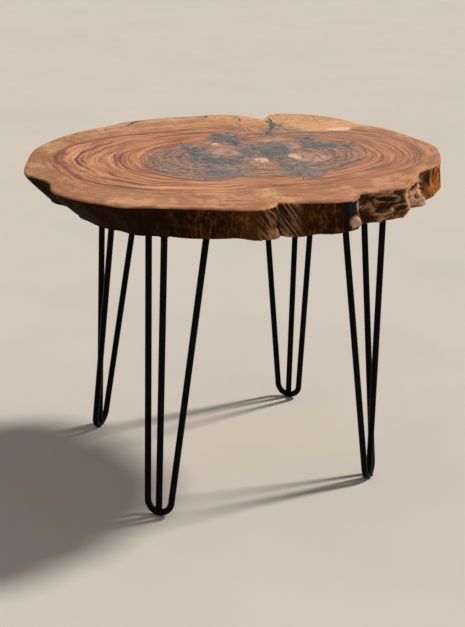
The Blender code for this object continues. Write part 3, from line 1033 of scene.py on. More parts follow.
@dataclass
class LiveEdgeSlab:
    """The slice of log: flat sanded top, natural edge and sawn underside in one skin.

    An oval is its middle, its two half lengths and its power; 2 is an ellipse, more is squarer.
    A stretch of the rim is its first and last bearing, the fade at each end and a strength. A spot of
    the edge is its bearing, its share of the edge's height, its reaches along the rim and in height,
    and a strength. A patch of the top is its middle and its reaches, in millimetres, and a strength.
    """

    node: str = "slab_top"
    around: int = 880
    crowd: tuple = (-112.0, -28.0, 1.6)
    top_rows: int = 58
    edge_rows: int = 36
    under_rows: int = 12
    arris: float = 0.0025
    arris_rows: int = 4
    ring_least: int = 100
    crease: float = 75.0

    # Relief of the edge; a scale is how many noise cells there are in a metre
    slant: float = -0.75
    fibre_scale: tuple = (190.0, 190.0, 22.0)
    fibre_height: float = 0.00030
    lump_scale: float = 48.0
    lump_height: float = 0.00050
    ledge_scale: tuple = (38.0, 38.0, 120.0)
    ledge_height: float = 0.0060
    torn_lump_height: float = 0.0040
    ridge_scale: tuple = (150.0, 150.0, 20.0)
    ridge_middle: float = 0.4
    rim_fade: tuple = (1.0, 0.88)
    rim_relief: float = 0.25
    ridge_heights: tuple = (
        (-107.0, -93.0, 2.0, 0.0030), (-93.0, -80.0, 2.0, 0.0014), (40.0, 130.0, 10.0, 0.0012),
    )
    ridges_end: float = -85.0
    tear: tuple = ((-72.0, -33.0, 1.5, 1.0),)
    hollow: tuple = ((-72.0, -56.0, 1.5, 0.003),)
    notch_fill: tuple = ((-103.0, -95.0, 2.0, 0.004),)
    knob: tuple = ((-76.0, 0.28, 0.009, 0.009, 0.0065),)

    # Growth
    ring_count: float = 66.0
    heart: tuple = ((0.034, -0.012), (0.196, 0.128), 2.2)
    heart_age: float = 0.5
    ringed: tuple = ((0.010, 0.003), (0.304, 0.190), 2.5)
    ringed_age: float = 0.75
    dip: float = 0.030
    dip_at: float = -0.042
    dip_reach: float = 0.024
    dip_front: tuple = (0.09, 0.17)

    # What the top shows; a pair is where an eased step starts and ends
    heart_bound: tuple = (0.80, 1.02)
    sap_ages: tuple = (0.70, 0.88)
    left_sap_ages: tuple = (0.73, 0.80)
    left_end: tuple = (0.22, 0.28)
    calm_end: tuple = (0.265, 0.305)
    calm_waver: float = 0.014
    flap_step: tuple = (-0.008, 0.012)
    flap_waver: float = 0.007
    flap_side_step: tuple = (0.055, 0.10)
    flap_side_waver: float = 0.010
    flap_side_slope: float = 0.25
    flap_side_from: float = 0.20
    flap_gold: float = 0.85
    flap_gold_step: tuple = (0.05, 0.16)
    rear_gold: float = 0.55
    rear_gold_step: tuple = (0.10, 0.22)
    fair_side: tuple = (0.10, 0.15)
    fair_end: tuple = (0.20, 0.14)
    seam: tuple = (
        (70, 136), (107, 128), (135, 123), (165, 127), (195, 119), (230, 113), (262, 120), (300, 136),
    )
    glows: tuple = ((-42, -214, 24, 56, 0.62), (-300, -85, 26, 50, 0.50), (-270, 138, 46, 62, 0.62))
    islands: tuple = (
        (-8, 32, 26, 30, 1.0), (22, -56, 20, 38, 1.0), (116, -36, 36, 34, 1.0),
        (106, 92, 44, 20, 0.7), (-10, 84, 20, 18, 0.8), (116, 46, 12, 30, 1.0),
    )
    stains: tuple = (
        (-82, -32, 84, 112, 1.0), (62, -104, 40, 64, 1.0), (70, 12, 56, 62, 1.0),
        (172, 22, 70, 46, 0.6), (36, 104, 28, 56, 1.0), (155, 108, 90, 26, 0.7),
        (156, 152, 36, 30, 0.6), (74, 160, 20, 32, 0.55), (-30, -88, 46, 40, 0.65),
    )
    smears: tuple = (
        (-187, 185, 18, 24, 0.38), (-226, 158, 14, 26, 0.34), (-310, 52, 20, 30, 0.36),
        (-334, -10, 24, 66, 0.34), (-304, -96, 24, 34, 0.26), (262, 214, 16, 24, 0.34),
        (-252, -170, 30, 14, 0.36), (88, 112, 120, 44, 0.60),
    )
    veins: tuple = (
        (30, 26, 16, 28, 1.0), (30, 78, 12, 44, 1.0), (154, 34, 28, 22, 1.0),
        (166, 76, 5, 28, 1.0), (202, 22, 26, 10, 0.8), (61, -46, 16, 26, 0.9),
    )
    creams: tuple = (
        (90, -26, 12, 24, 1.0), (30, -34, 14, 18, 1.0), (-4, 84, 11, 10, 1.0),
        (248, 130, 28, 15, 1.25), (-40, -218, 12, 40, 0.5),
    )
    stain_reach: float = 0.018
    stain_parts: int = 40

    # What the edge shows
    leaning: tuple = (-107.0, -92.0, 2.0)
    torn: tuple = ((-73.0, -33.0, 2.0, 1.0), (-106.0, -100.5, 1.5, 0.74), (-100.5, -93.0, 1.5, 0.96))
    bare_least: float = 0.24
    bare: tuple = ((-51.5, -33.0, 2.5, 0.66), (-106.0, -94.0, 2.0, 0.10))
    split: tuple = ((-32.0, 34.0, 3.0, 1.0),)
    split_fade: tuple = (18.0, -26.0)
    gilt: tuple = (
        (-128.0, -80.0, 6.0, 0.30), (-112.0, -104.0, 2.0, 0.36), (-104.0, -93.0, 2.0, 0.22),
        (-93.0, -80.0, 2.0, 0.16), (-8.0, 150.0, 14.0, 0.3),
    )
    blue: tuple = (
        (-77.5, 0.75, 0.020, 0.019, 1.0), (-30.5, 0.70, 0.013, 0.016, 0.95), (-100.5, 0.72, 0.010, 0.014, 0.4),
    )
    chip: tuple = (
        (-76.0, 1.0, 0.012, 0.003, 1.0), (-73.8, 0.66, 0.004, 0.016, 0.75), (-76.0, 0.28, 0.011, 0.011, 1.15),
    )

    def cad_rings(self) -> tuple[np.ndarray, np.ndarray]:
        """The solid's own rings between its two arrises, each ordered by bearing.

        A height that many corners share is a ring of the edge, or a face with pockets; all rings of
        the edge have the same count, which is the one that most of these heights have.

        Returns:
            Heights, (k,), and plan points, (k, n, 2).
        """
        corners, _ = cad_corners(self.node)
        heights, counts = np.unique(np.round(corners[:, 2], 5), return_counts=True)
        heights = heights[counts == np.bincount(counts[counts >= self.ring_least]).argmax()]
        rings = [corners[np.abs(corners[:, 2] - height) < 2e-5, :2] for height in heights]
        return heights, np.stack([ring[np.argsort(np.arctan2(ring[:, 1], ring[:, 0]))] for ring in rings])

    def stretches(self, rows: tuple) -> np.ndarray:
        """Strength along the rim: where the bearing lies in a stretch, eased at both ends, summed.

        Args:
            rows: The stretches.

        Returns:
            The strength, (around,).
        """
        total = np.zeros(self.around)
        for start, end, fade, weight in rows:
            begun, ended = (ease(self.bearing, bound - fade, bound + fade) for bound in (start, end))
            total += weight * begun * (1.0 - ended)
        return total

    def spots(self, rows: tuple) -> np.ndarray:
        """The strongest of soft spots on the edge: e to the minus squared distance, in its own reaches.

        Args:
            rows: The spots.

        Returns:
            Their strength on the edge grid, (rows, around).
        """
        found = []
        for bearing, share, wide, tall, weight in rows:
            run = np.radians(self.bearing - bearing) * np.linalg.norm(self.rim, axis=1) / wide
            rise = (self.share - share) * self.depth / tall
            found.append(weight * np.exp(-(run[None, :] ** 2) - rise[:, None] ** 2))
        return np.maximum.reduce(found)

    @staticmethod
    def patches(plan: np.ndarray, rows: tuple) -> np.ndarray:
        """The strongest of soft patches on the plan: 1 well inside an ellipse, 0 well outside.

        Args:
            plan: Points seen from above, (n, 2).
            rows: The patches.

        Returns:
            Their strength, (n,).
        """
        found = []
        for *oval, weight in rows:
            x, y, wide, deep = metres(oval)
            away = np.hypot((plan[:, 0] - x) / wide, (plan[:, 1] - y) / deep)
            found.append(weight * (1.0 - ease(away, *PATCH_EDGE)))
        return np.maximum.reduce(found)

    def relief(self) -> tuple[np.ndarray, np.ndarray]:
        """How far the edge stands out of the solid's own edge, in metres.

        Upright fibres everywhere, slow lumps, slanting ridges on the front notch, and on the torn
        front right stepped ledges of ridged noise (one minus its size), hollowed by half a sine wave
        under the rim. A round knob stands beside the tear, and the front notch is filled out downwards.

        Returns:
            Offsets along the rim's normal, and how high each point lies on its own ridge or ledge
            from 0 to 1, both (rows, around).
        """
        fibres = rough_noise(self.run * self.fibre_scale, 2, 11)
        lumps = rough_noise(self.run * self.lump_scale, 2, 21)
        slanted = self.run + self.run[..., 2:] * np.array((self.slant, 0.0, 0.0))
        ridges = rough_noise(slanted * self.ridge_scale, 3, 31, ridged=True)
        ledges = rough_noise(self.run * self.ledge_scale, 3, 41, ridged=True)
        steps = self.ledge_height * (ledges - self.ridge_middle) + self.torn_lump_height * lumps
        scoop = np.sin(np.pi * np.clip(self.share * 1.4 - 0.4, 0.0, 1.0))[:, None]
        offset = self.fibre_height * fibres + self.lump_height * lumps
        offset += self.stretches(self.ridge_heights) * ridges + self.stretches(self.tear) * steps
        offset += self.spots(self.knob) - self.stretches(self.hollow) * scoop
        offset += self.stretches(self.notch_fill) * (1.0 - self.share)[:, None]
        ridge = np.where(self.bearing < self.ridges_end, ridges, ledges)
        return offset, np.clip(0.5 + 0.8 * (ridge - self.ridge_middle), 0.0, 1.0)

    def edge_grid(self) -> tuple[np.ndarray, np.ndarray]:
        """The natural edge as a function of place along the rim and height.

        The solid's rings give the base, read by a Catmull-Rom curve along the rim and another in
        height; the relief is added along the rim's normal and dies down at the top arris. Run is the
        edge laid on a cylinder of the rim's length, where noise is read.

        Returns:
            Points from the top down, (rows, around, 3), and the relief's own height from 0 to 1.
        """
        heights, rings = self.cad_rings()
        base = on_loop(rings, even_places(rings[-1], self.around, self.crowd))
        self.rim = base[-1]
        self.bearing = np.degrees(np.arctan2(self.rim[:, 1], self.rim[:, 0]))
        self.depth = heights[-1] - heights[0]
        self.share = np.linspace(1.0, 0.0, self.edge_rows)
        levels = heights[0] + self.share * self.depth
        plan = on_line(base, np.interp(levels, heights, np.arange(len(heights))))
        step = np.linalg.norm(np.roll(self.rim, -1, axis=0) - self.rim, axis=1)
        turn = 2.0 * np.pi * np.cumsum(step) / step.sum()
        barrel = step.sum() / (2.0 * np.pi) * spokes(turn)
        self.run = raised(np.broadcast_to(barrel, plan.shape), levels[:, None])
        offset, relief = self.relief()
        fade = self.rim_relief + (1.0 - self.rim_relief) * ease(self.share, *self.rim_fade)
        moved = plan + (offset * fade[:, None])[..., None] * outward(self.rim)[None]
        return raised(moved, levels[:, None]), relief

    def skin(self, edge: np.ndarray, top: float, bottom: float) -> np.ndarray:
        """All rows of the slab from the underside's middle, round the edge, to the top's middle.

        Each arris is a quarter circle; each flat face is the arris's last row shrunk towards the heart.

        Args:
            edge: Edge grid from the top down.
            top: Height of the sanded top.
            bottom: Height of the underside.

        Returns:
            Rows of points, (rows, around, 3).
        """
        middle = np.array(self.heart[0])
        turns = np.linspace(0.0, np.pi / 2, self.arris_rows + 1)[1:]

        def flat_side(row: np.ndarray, height: float, count: int) -> list:
            """One arris and its flat face.

            Args:
                row: The edge's row beside the arris.
                height: The flat face's height.
                count: Into how many steps the face is divided.

            Returns:
                Rows from the edge towards the heart.
            """
            plan, level, normal = row[:, :2], row[:, 2], outward(row[:, :2])
            rows = []
            for turn in turns:
                inset = plan - normal * self.arris * (1.0 - math.cos(turn))
                rows.append(raised(inset, level + (height - level) * math.sin(turn)))
            last = rows[-1]
            shares = np.linspace(1.0, 0.0, count + 1)[1:-1]
            return rows + [raised(middle + share * (last[:, :2] - middle), last[:, 2]) for share in shares]

        under = flat_side(edge[-1], bottom, self.under_rows)
        return np.stack(under[::-1] + list(edge[::-1]) + flat_side(edge[0], top, self.top_rows))

    @staticmethod
    def round_share(points: np.ndarray, oval: tuple) -> np.ndarray:
        """How far out a point lies in an oval, 1 on its line: the sum of both offsets' powers, rooted.

        Args:
            points: Plan points, (..., 2).
            oval: The oval.

        Returns:
            The share, (...).
        """
        middle, half, power = oval
        offset = np.abs((points - np.array(middle)) / np.array(half))
        return (offset[..., 0] ** power + offset[..., 1] ** power) ** (1.0 / power)

    def growth(self, plan: np.ndarray, out: np.ndarray) -> np.ndarray:
        """Age of the wood from 0 at the heart to 1 at the rim.

        Inside the heart's oval it grows with the oval. Between the heart and the last dark
        ring, and from there to the rim, it is the share of the way from one line to the next. Behind
        the front notch it is higher by a bell curve, so the rings dip towards the heart there.

        Args:
            plan: Points seen from above, (n, 2).
            out: Share of the way from the heart to the rim, (n,).

        Returns:
            The age, (n,).
        """
        heart = self.round_share(plan, self.heart)
        ringed = self.round_share(plan, self.ringed)

        def between(inner: np.ndarray, outer: np.ndarray) -> np.ndarray:
            """Share of the way from one line to the next."""
            past, short = np.maximum(inner - 1.0, 0.0), np.maximum(1.0 - outer, 0.0)
            return past / (past + short + 1e-9)

        bell = np.exp(-(((plan[:, 0] - self.dip_at) / self.dip_reach) ** 2))
        dip = self.dip * bell * ease(-plan[:, 1], *self.dip_front)
        middle = self.heart_age + (self.ringed_age - self.heart_age) * between(heart, ringed)
        outer = self.ringed_age + (1.0 - self.ringed_age) * between(ringed, out)
        return np.where(heart < 1.0, self.heart_age * heart, np.where(ringed < 1.0, middle, outer)) + dip

    def paint_faces(self, piece: bpy.types.Object, points: np.ndarray, fills: list, resin: ResinFinish) -> None:
        """Store what the end grain reads.

        Ring and sweep place the growth rings. Sap, calm and gold mark the sapwood, its browner left end,
        which is partly painted shade, and its pale stretches; contrast and fair set how strong and how
        light the rings are. Island is sound wood in the heart, stain and cream are brown and pale marks.
        Depth is the mineral stain's: at an inlay's outline as it is inside, and e to the minus distance beyond.

        Args:
            piece: The slab.
            points: Its vertices, (n, 3).
            fills: Plan outlines of the resin, each (m, 2).
            resin: The resin's finish, whose depth the stain continues.
        """
        plan = points[:, :2]
        x, y = plan.T
        offset, rim = (part - np.array(self.heart[0]) for part in (plan, self.rim))
        turn, rim_turn = (np.arctan2(part[:, 1], part[:, 0]) for part in (offset, rim))
        order = np.argsort(rim_turn)
        limit = np.interp(turn, rim_turn[order], np.linalg.norm(rim, axis=1)[order], period=2.0 * np.pi)
        age = self.growth(plan, np.clip(np.linalg.norm(offset, axis=1) / limit, 0.0, 1.0))

        beyond = y - np.interp(x, *metres(self.seam).T) + self.flap_waver * flat_noise(plan, 0.024, 3, 71)
        beside = x + self.flap_side_slope * (y - self.flap_side_from)
        beside = beside + self.flap_side_waver * flat_noise(plan, 0.030, 3, 72)
        flap = ease(beyond, *self.flap_step) * ease(beside, *self.flap_side_step)
        left = ease(-x, *self.left_end)
        sap = (1.0 - left) * ease(age, *self.sap_ages) + left * ease(age, *self.left_sap_ages)
        within = 1.0 - ease(self.round_share(plan, self.heart), *self.heart_bound)
        flap_gold = self.flap_gold * flap * ease(x, *self.flap_gold_step)
        rear_gold = self.rear_gold * ease(y, *self.rear_gold_step)
        strong = (0.66 + 0.32 * ease(-x, -0.24, -0.04)) * (1.0 - 0.05 * ease(np.abs(y), 0.10, 0.16))
        island = self.patches(plan, self.islands)
        stain = self.patches(plan, self.stains) * (1.0 - 0.85 * island)
        smear = np.maximum(self.patches(plan, self.smears), 0.80 * within) * (1.0 - 0.6 * island)

        lines = np.concatenate(fills)[::2]
        near = np.full(len(plan), 1.0)
        for part in np.array_split(np.flatnonzero(age < 0.9), self.stain_parts):
            near[part] = np.sqrt(((plan[part, None] - lines[None]) ** 2).sum(-1).min(1))
        spilt = resin.depth_at(y) * np.exp(-near / self.stain_reach)
        depths = (spilt, 0.64 * stain, resin.rear_depth * self.patches(plan, self.veins))
        give_values(piece, {
            "ring": age * self.ring_count,
            "sweep": raised(spokes(turn), 0.0),
            "sap": np.maximum(sap, flap),
            "calm": ease(self.calm_waver * flat_noise(plan, 0.05, 3, 73) - x, *self.calm_end),
            "gold": np.maximum.reduce((flap_gold, rear_gold, self.patches(plan, self.glows))),
            "contrast": strong * (1.0 - 0.30 * within),
            "fair": ease(np.abs(y), *self.fair_side) * ease(x, *self.fair_end),
            "island": island,
            "stain": np.maximum(stain, smear),
            "cream": self.patches(plan, self.creams),
            "depth": np.maximum.reduce(depths),
        })

    def paint_edge(self, piece: bpy.types.Object, relief: np.ndarray, rows: int) -> None:
        """Store what the natural edge reads: run, relief and where the wood is torn, split or stained.

        Args:
            piece: The slab.
            relief: Relief of the edge grid, from the top down.
            rows: Rows of the whole slab.
        """
        start = self.under_rows - 1 + self.arris_rows
        run = self.run.copy()
        run[..., 0] += self.stretches(((*self.leaning, self.slant),)) * self.run[..., 2]

        def spread(values: np.ndarray) -> np.ndarray:
            """Edge values on every row of the slab, held beyond the arrises.

            Args:
                values: Values round the rim, or on the edge grid from the top down.

            Returns:
                One value for each vertex.
            """
            upward = np.tile(values, (self.edge_rows, 1)) if values.ndim == 1 else values[::-1]
            below = np.repeat(upward[:1], start, axis=0)
            above = np.repeat(upward[-1:], rows - start - self.edge_rows, axis=0)
            flat = np.concatenate((below, upward, above)).reshape(rows * self.around, *values.shape[2:])
            return np.concatenate((flat, flat[:1], flat[-1:]))

        values = {
            "run": run,
            "relief": relief,
            "torn": np.clip(self.stretches(self.torn), 0.0, 1.0),
            "bare": self.bare_least + self.stretches(self.bare),
            "split": self.stretches(self.split) * ease(self.bearing, *self.split_fade),
            "gilt": self.stretches(self.gilt),
            "blue": self.spots(self.blue),
            "chip": self.spots(self.chip),
        }
        give_values(piece, {name: spread(array) for name, array in values.items()})

    def build(self, finishes: tuple, fills: list, resin: ResinFinish) -> bpy.types.Object:
        """The slab as one closed skin with a material for each of its three kinds of face.

        Args:
            finishes: Finishes of the sanded top, the natural edge and the underside.
            fills: Plan outlines of the resin.
            resin: The resin's finish.

        Returns:
            The slab's piece.
        """
        low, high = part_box(self.node)
        edge, relief = self.edge_grid()
        rows = self.skin(edge, high.z, low.z)
        middle = self.heart[0]
        points = np.concatenate((rows.reshape(-1, 3), ((*middle, low.z), (*middle, high.z))))
        column = np.arange(self.around)
        beside = (column + 1) % self.around
        lift = (len(rows) - 1) * self.around
        under = np.stack((beside, column, np.full_like(column, len(points) - 2)), axis=1)
        over = np.stack((lift + column, lift + beside, np.full_like(column, len(points) - 1)), axis=1)
        faces = [*wrapped_quads(len(rows), self.around).tolist(), *under.tolist(), *over.tolist()]
        materials = [finish.material() for finish in finishes]
        piece = make_piece("live_edge_slab", (points, faces), materials, self.crease)

        face_row = np.repeat((*range(len(rows) - 1), 0, len(rows)), self.around)
        edge_start = self.under_rows - 1
        edge_end = edge_start + self.arris_rows + self.edge_rows - 2
        kind = np.where(face_row <= edge_end, SlabFace.EDGE, SlabFace.TOP)
        kind = np.where(face_row < edge_start, SlabFace.UNDER, kind)
        piece.data.polygons.foreach_set("material_index", kind.astype(np.int32))
        self.paint_faces(piece, points, fills, resin)
        self.paint_edge(piece, relief, len(rows))
        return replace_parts(piece, self.node)


@dataclass
class TopChecks:
    """Open checks, seams and dark marks in the top, each a thin dark sliver let into the wood; on the open checks
    its dark is partly painted shade of the gap.
    """

    deep: float = 0.0012
    proud: float = 0.00006
    step: float = 0.0015
    least_steps: int = 8
    waver: float = 0.0012
    waver_cell: float = 0.007
    fray: float = 0.45
    fray_cell: float = 0.004
    taper_power: float = 0.6
    first_seed: int = 60

    # Widest width, and plan points from one end to the other, in millimetres.
    lines: tuple = (
        (4.6, ((162, 243), (157, 222), (152, 203))),
        (1.8, ((152, 190), (155, 165), (157, 134))),
        (3.2, ((102, 270), (109, 250), (102, 228))),
        (1.9, ((93, 226), (89, 196), (95, 182), (91, 152), (96, 134), (110, 136), (124, 155))),
        (6.0, ((56, 274), (61, 287))),
        (6.6, ((-103, 246), (-89, 260), (-74, 275), (-65, 278))),
        (1.1, ((-18, 284), (-16, 255), (-21, 222))),
        (1.4, ((-143, 240), (-147, 215), (-144, 192))),
        (1.2, ((-232, 178), (-222, 160), (-226, 140))),
        (1.1, ((244, 238), (236, 205), (228, 166))),
        (2.6, ((74, 134), (107, 128), (135, 122), (165, 127), (195, 118), (230, 112))),
        (1.8, ((206, 24), (222, 20), (226, 6), (222, -13), (213, -38), (199, -63))),
        (2.2, ((-52, 112), (-56, 98), (-54, 82))),
        (1.0, ((-106, -134), (-100, -122), (-92, -104))),
        (1.2, ((-152, -100), (-136, -86), (-118, -76))),
        (1.4, ((42, -166), (46, -154), (52, -140))),
        (2.4, ((104, -85), (125, -70), (143, -58), (160, -48), (184, -40))),
        (1.0, ((-318, 4), (-300, 10), (-286, 8))),
        (0.9, ((-130, -256), (-124, -236), (-122, -214))),
        (2.6, ((205, -57), (195, -68), (180, -76), (164, -83), (144, -96), (129, -110))),
        (1.8, ((130, -11), (127, -44), (125, -70))),
    )

    def sliver(self, line: np.ndarray, wide: float, top: float, seed: int) -> Skin:
        """One sliver: a section of four corners carried along a curve, tapering to both ends.

        Args:
            line: Plan points of its middle line, (n, 2).
            wide: Its widest width.
            top: Height of the sanded top.
            seed: Picks its waver.

        Returns:
            Vertices and faces.
        """
        length = np.linalg.norm(np.diff(line, axis=0), axis=1).sum()
        count = max(self.least_steps, int(length / self.step))
        path = on_line(line, np.linspace(0.0, len(line) - 1.0, count))
        along = unit(np.gradient(path, axis=0))
        side = np.stack((-along[:, 1], along[:, 0]), axis=1)
        taper = np.sin(np.pi * np.linspace(0.02, 0.98, count)) ** self.taper_power
        half = 0.5 * wide * taper * (1.0 + self.fray * flat_noise(path, self.fray_cell, 2, seed + 9))
        path = path + side * (flat_noise(path, self.waver_cell, 2, seed) * self.waver)[:, None]
        reach = side * half[:, None]
        corners = np.stack((path + reach, path, path - reach, path), axis=1)
        vertices, faces = coat_solid(raised(corners, top + np.array((0.0, self.proud, 0.0, -self.deep))))
        return vertices, [face[::-1] for face in faces]

    def build(self, top: float, finish: CheckFinish) -> bpy.types.Object:
        """All slivers as one piece.

        Args:
            top: Height of the sanded top.
            finish: Their finish.

        Returns:
            The piece.
        """
        parts = [
            self.sliver(metres(points), wide / MILLIMETRES, top, seed)
            for seed, (wide, points) in enumerate(self.lines, self.first_seed)
        ]
        return make_piece("slab_checks", merged(parts), [finish.material()])


@dataclass
class ResinInlays:
    """The resin fills, with the ragged outlines of the voids they were poured into."""

    nodes: tuple = (
        "resin_fill_left", "resin_fill_centre", "resin_fill_front",
        "resin_fill_right", "resin_fill_rear", "resin_fill_crack",
    )
    step: float = 0.0011
    ragged: float = 0.0075
    ragged_cell: float = 0.017
    frayed: float = 0.0026
    frayed_cell: float = 0.0048
    crack_share: float = 0.15
    crack_inset: float = 0.0016
    proud: float = 0.00012
    lip: float = 0.0004
    crease: float = 60.0

    @staticmethod
    def cad_outline(node: str) -> np.ndarray:
        """The outline of a fill's upper face: its edges that only one triangle uses, walked in order.

        Args:
            node: The fill's node.

        Returns:
            Plan points, counter-clockwise, (n, 2).
        """
        corners, same = cad_corners(node)
        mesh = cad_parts[node].data
        mesh.calc_loop_triangles()
        triangles = np.empty(len(mesh.loop_triangles) * 3, np.int32)
        mesh.loop_triangles.foreach_get("vertices", triangles)
        triangles = same[triangles].reshape(-1, 3)
        high = corners[:, 2].max()
        upper = triangles[(corners[triangles][:, :, 2] > high - 1e-5).all(1)]
        edges = np.concatenate((upper[:, (0, 1)], upper[:, (1, 2)], upper[:, (2, 0)])).tolist()
        held = {(a, b) for a, b in edges}
        following = {a: b for a, b in edges if (b, a) not in held}
        walk = [next(iter(following))]
        while following[walk[-1]] != walk[0]:
            walk.append(following[walk[-1]])
        return corners[walk, :2]

    def outline(self, node: str) -> np.ndarray:
        """The fill's outline, moved in and out along its normal by noise read at each point.

        Args:
            node: The fill's node.

        Returns:
            Plan points, (n, 2).
        """
        drawn = self.cad_outline(node)
        length = np.linalg.norm(np.roll(drawn, -1, axis=0) - drawn, axis=1).sum()
        loop = on_loop(drawn, even_places(drawn, int(length / self.step)))
        share, inset = (self.crack_share, self.crack_inset) if node.endswith("crack") else (1.0, 0.0)
        push = self.ragged * flat_noise(loop, self.ragged_cell, 3, 5)
        push += self.frayed * flat_noise(loop, self.frayed_cell, 2, 15)
        return loop + outward(loop) * (share * push - inset)[:, None]

    def build(self, outlines: dict, top: float, finish: ResinFinish, crack_finish: ResinFinish) -> list:
        """One inlay in place of each fill: an upright wall on the outline with an eased upper edge.

        Args:
            outlines: Plan outline of each node.
            top: Height of the sanded top.
            finish: The resin's finish.
            crack_finish: The darker finish of the filled crack.

        Returns:
            The pieces.
        """
        plain, dark = finish.material(), crack_finish.material()
        eased = [
            (0.0, top - self.lip), (self.lip * 0.5, top + self.proud * 0.6), (self.lip, top + self.proud),
        ]
        pieces = []
        for node, loop in outlines.items():
            material = dark if node.endswith("crack") else plain
            skin = coat_solid(stepped(loop, [(0.0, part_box(node)[0].z), *eased]))
            piece = make_piece(node.replace("fill", "inlay"), skin, [material], self.crease)
            pieces.append(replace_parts(piece, node))
        return pieces


# Legs


@dataclass
class HairpinLeg:
    """One leg: a bent rod, a straight rod, a plate, their welds and four screws.

    It is worked out with its foot at the origin and +Y pointing out from the table, then turned
    and moved to its corner.
    """

    corner: Corner
    bare_rod: float = 0.00475
    coat: float = 0.00035
    sides: int = 28
    bend: float = 0.020
    bend_steps: int = 48
    spread: float = 0.095
    lean: float = 0.052
    brace_lean: float = 0.005
    straight_steps: int = 12
    gap: float = 0.0003

    # Plate
    plate_margin: float = 0.008
    plate_ease: float = 0.0008
    plate_arc_steps: int = 16
    plate_ease_steps: int = 5

    # Welds; ripples and swells are counted round a bead
    bead: float = 0.0034
    bead_rows: int = 8
    ripple: float = 0.10
    ripples: float = 15.0
    swells: float = 4.0
    foot_bead: float = 0.0022
    foot_bead_rows: int = 6
    foot_ripples: float = 13.0
    foot_bead_sunk: float = 0.0006
    foot_bead_bite: float = 0.0001
    foot_bead_climb: float = 0.0014

    # Screws
    screw: float = 0.0024
    screw_sides: int = 48
    thread: float = 0.0005
    thread_pitch: float = 0.0024
    thread_start: float = 0.004
    thread_least: float = 0.0015
    shank_rows: int = 46
    tip_length: float = 0.006
    tip_rows: int = 8
    tip_blunt: float = 0.06
    head: float = 0.0046
    head_height: float = 0.0032
    head_edge: float = 0.0006
    head_neck: float = 0.94
    crown_rows: int = 18
    crown_start: float = 0.03
    crown_flat: float = 0.45
    crown_droop: float = 0.55
    recess_depth: float = 0.0015
    recess_arm: tuple = (0.00035, 0.00060)
    recess_reach: tuple = (0.0018, 0.0024)

    def __post_init__(self) -> None:
        """Read the plate's heights and work out the coated rod's radius and the corner's place and turn."""
        self.name, side, inset = self.corner.value
        self.rod = self.bare_rod + self.coat
        low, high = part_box(f"leg_{self.name}_plate")
        self.plate_low, self.plate_high = low.z, high.z
        self.rod_top = low.z - self.gap
        slab_low, slab_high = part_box("slab_top")
        half = (slab_high - slab_low) / 2
        self.foot = np.array((side[0] * (half.x - inset[0]), side[1] * (half.y - inset[1]), 0.0))
        self.turn = math.atan2(side[1], side[0]) - math.pi / 2
        ends = ((-self.spread / 2, -self.lean), (self.spread / 2, -self.lean), (0.0, -self.brace_lean))
        self.seats = np.array(ends)

    def placed(self, points: np.ndarray) -> np.ndarray:
        """Points of the leg's own frame, turned about Z and moved to the corner."""
        cosine, sine = math.cos(self.turn), math.sin(self.turn)
        return points @ np.array(((cosine, sine, 0.0), (-sine, cosine, 0.0), (0.0, 0.0, 1.0))) + self.foot

    def swept(self, path: np.ndarray, normal: np.ndarray) -> np.ndarray:
        """The rod's circle carried along a path that lies in a plane.

        Args:
            path: Centre line, (n, 3).
            normal: The plane's unit normal.

        Returns:
            Rings of points, (n, sides, 3).
        """
        side = np.cross(unit(np.gradient(path, axis=0)), normal)
        circle = self.rod * spokes(full_turn(self.sides))
        return path[:, None] + circle[None, :, :1] * normal + circle[None, :, 1:] * side[:, None]

    def levelled(self, ring: np.ndarray, along: np.ndarray) -> np.ndarray:
        """A rod's end ring, slid along the rod until it is level under the plate."""
        return ring + along * ((self.rod_top - ring[:, 2:]) / along[2])

    def hairpin_line(self) -> tuple[np.ndarray, np.ndarray]:
        """Centre line of the bent rod: a straight, the arc that both straights touch, a straight.

        Returns:
            Points, (n, 3), and the unit normal of the leaning plane they lie in.
        """
        rise = self.rod_top - self.rod
        slope = math.atan2(self.lean, rise)
        up = np.array((0.0, -math.sin(slope), math.cos(slope)))
        half = self.spread / 2
        height = rise / math.cos(slope) - self.bend
        tangent = math.atan2(height, half) - math.acos(self.bend / math.hypot(half, height))
        turns = np.linspace(math.pi - tangent, 2.0 * math.pi + tangent, self.bend_steps)
        arc = np.array((0.0, self.bend)) + self.bend * spokes(turns)
        share = np.linspace(1.0, 0.0, self.straight_steps + 1)[:-1, None]
        top = np.array((half, height + self.bend))
        left = arc[0] + share * (top * (-1.0, 1.0) - arc[0])
        right = arc[-1] + share[::-1] * (top - arc[-1])
        flat = np.concatenate((left, arc, right))
        lift = np.array((0.0, 0.0, self.rod * math.cos(slope)))
        return lift + flat[:, :1] * (1.0, 0.0, 0.0) + flat[:, 1:] * up, np.cross(up, (1.0, 0.0, 0.0))

    def hairpin(self) -> Skin:
        """The bent rod.

        Returns:
            Vertices and faces.
        """
        path, normal = self.hairpin_line()
        rings = self.swept(path, normal)
        rings[0] = self.levelled(rings[0], path[0] - path[1])
        rings[-1] = self.levelled(rings[-1], path[-1] - path[-2])
        return coat_solid(rings)

    def saddle(self, across: np.ndarray, along: np.ndarray) -> np.ndarray:
        """Height of the bend's upper skin beside its lowest point: the rod's circle, lifted along the arc."""
        crown = np.sqrt(np.maximum(self.rod**2 - across**2, 0.0))
        return self.rod + crown + along**2 / (2.0 * self.bend)

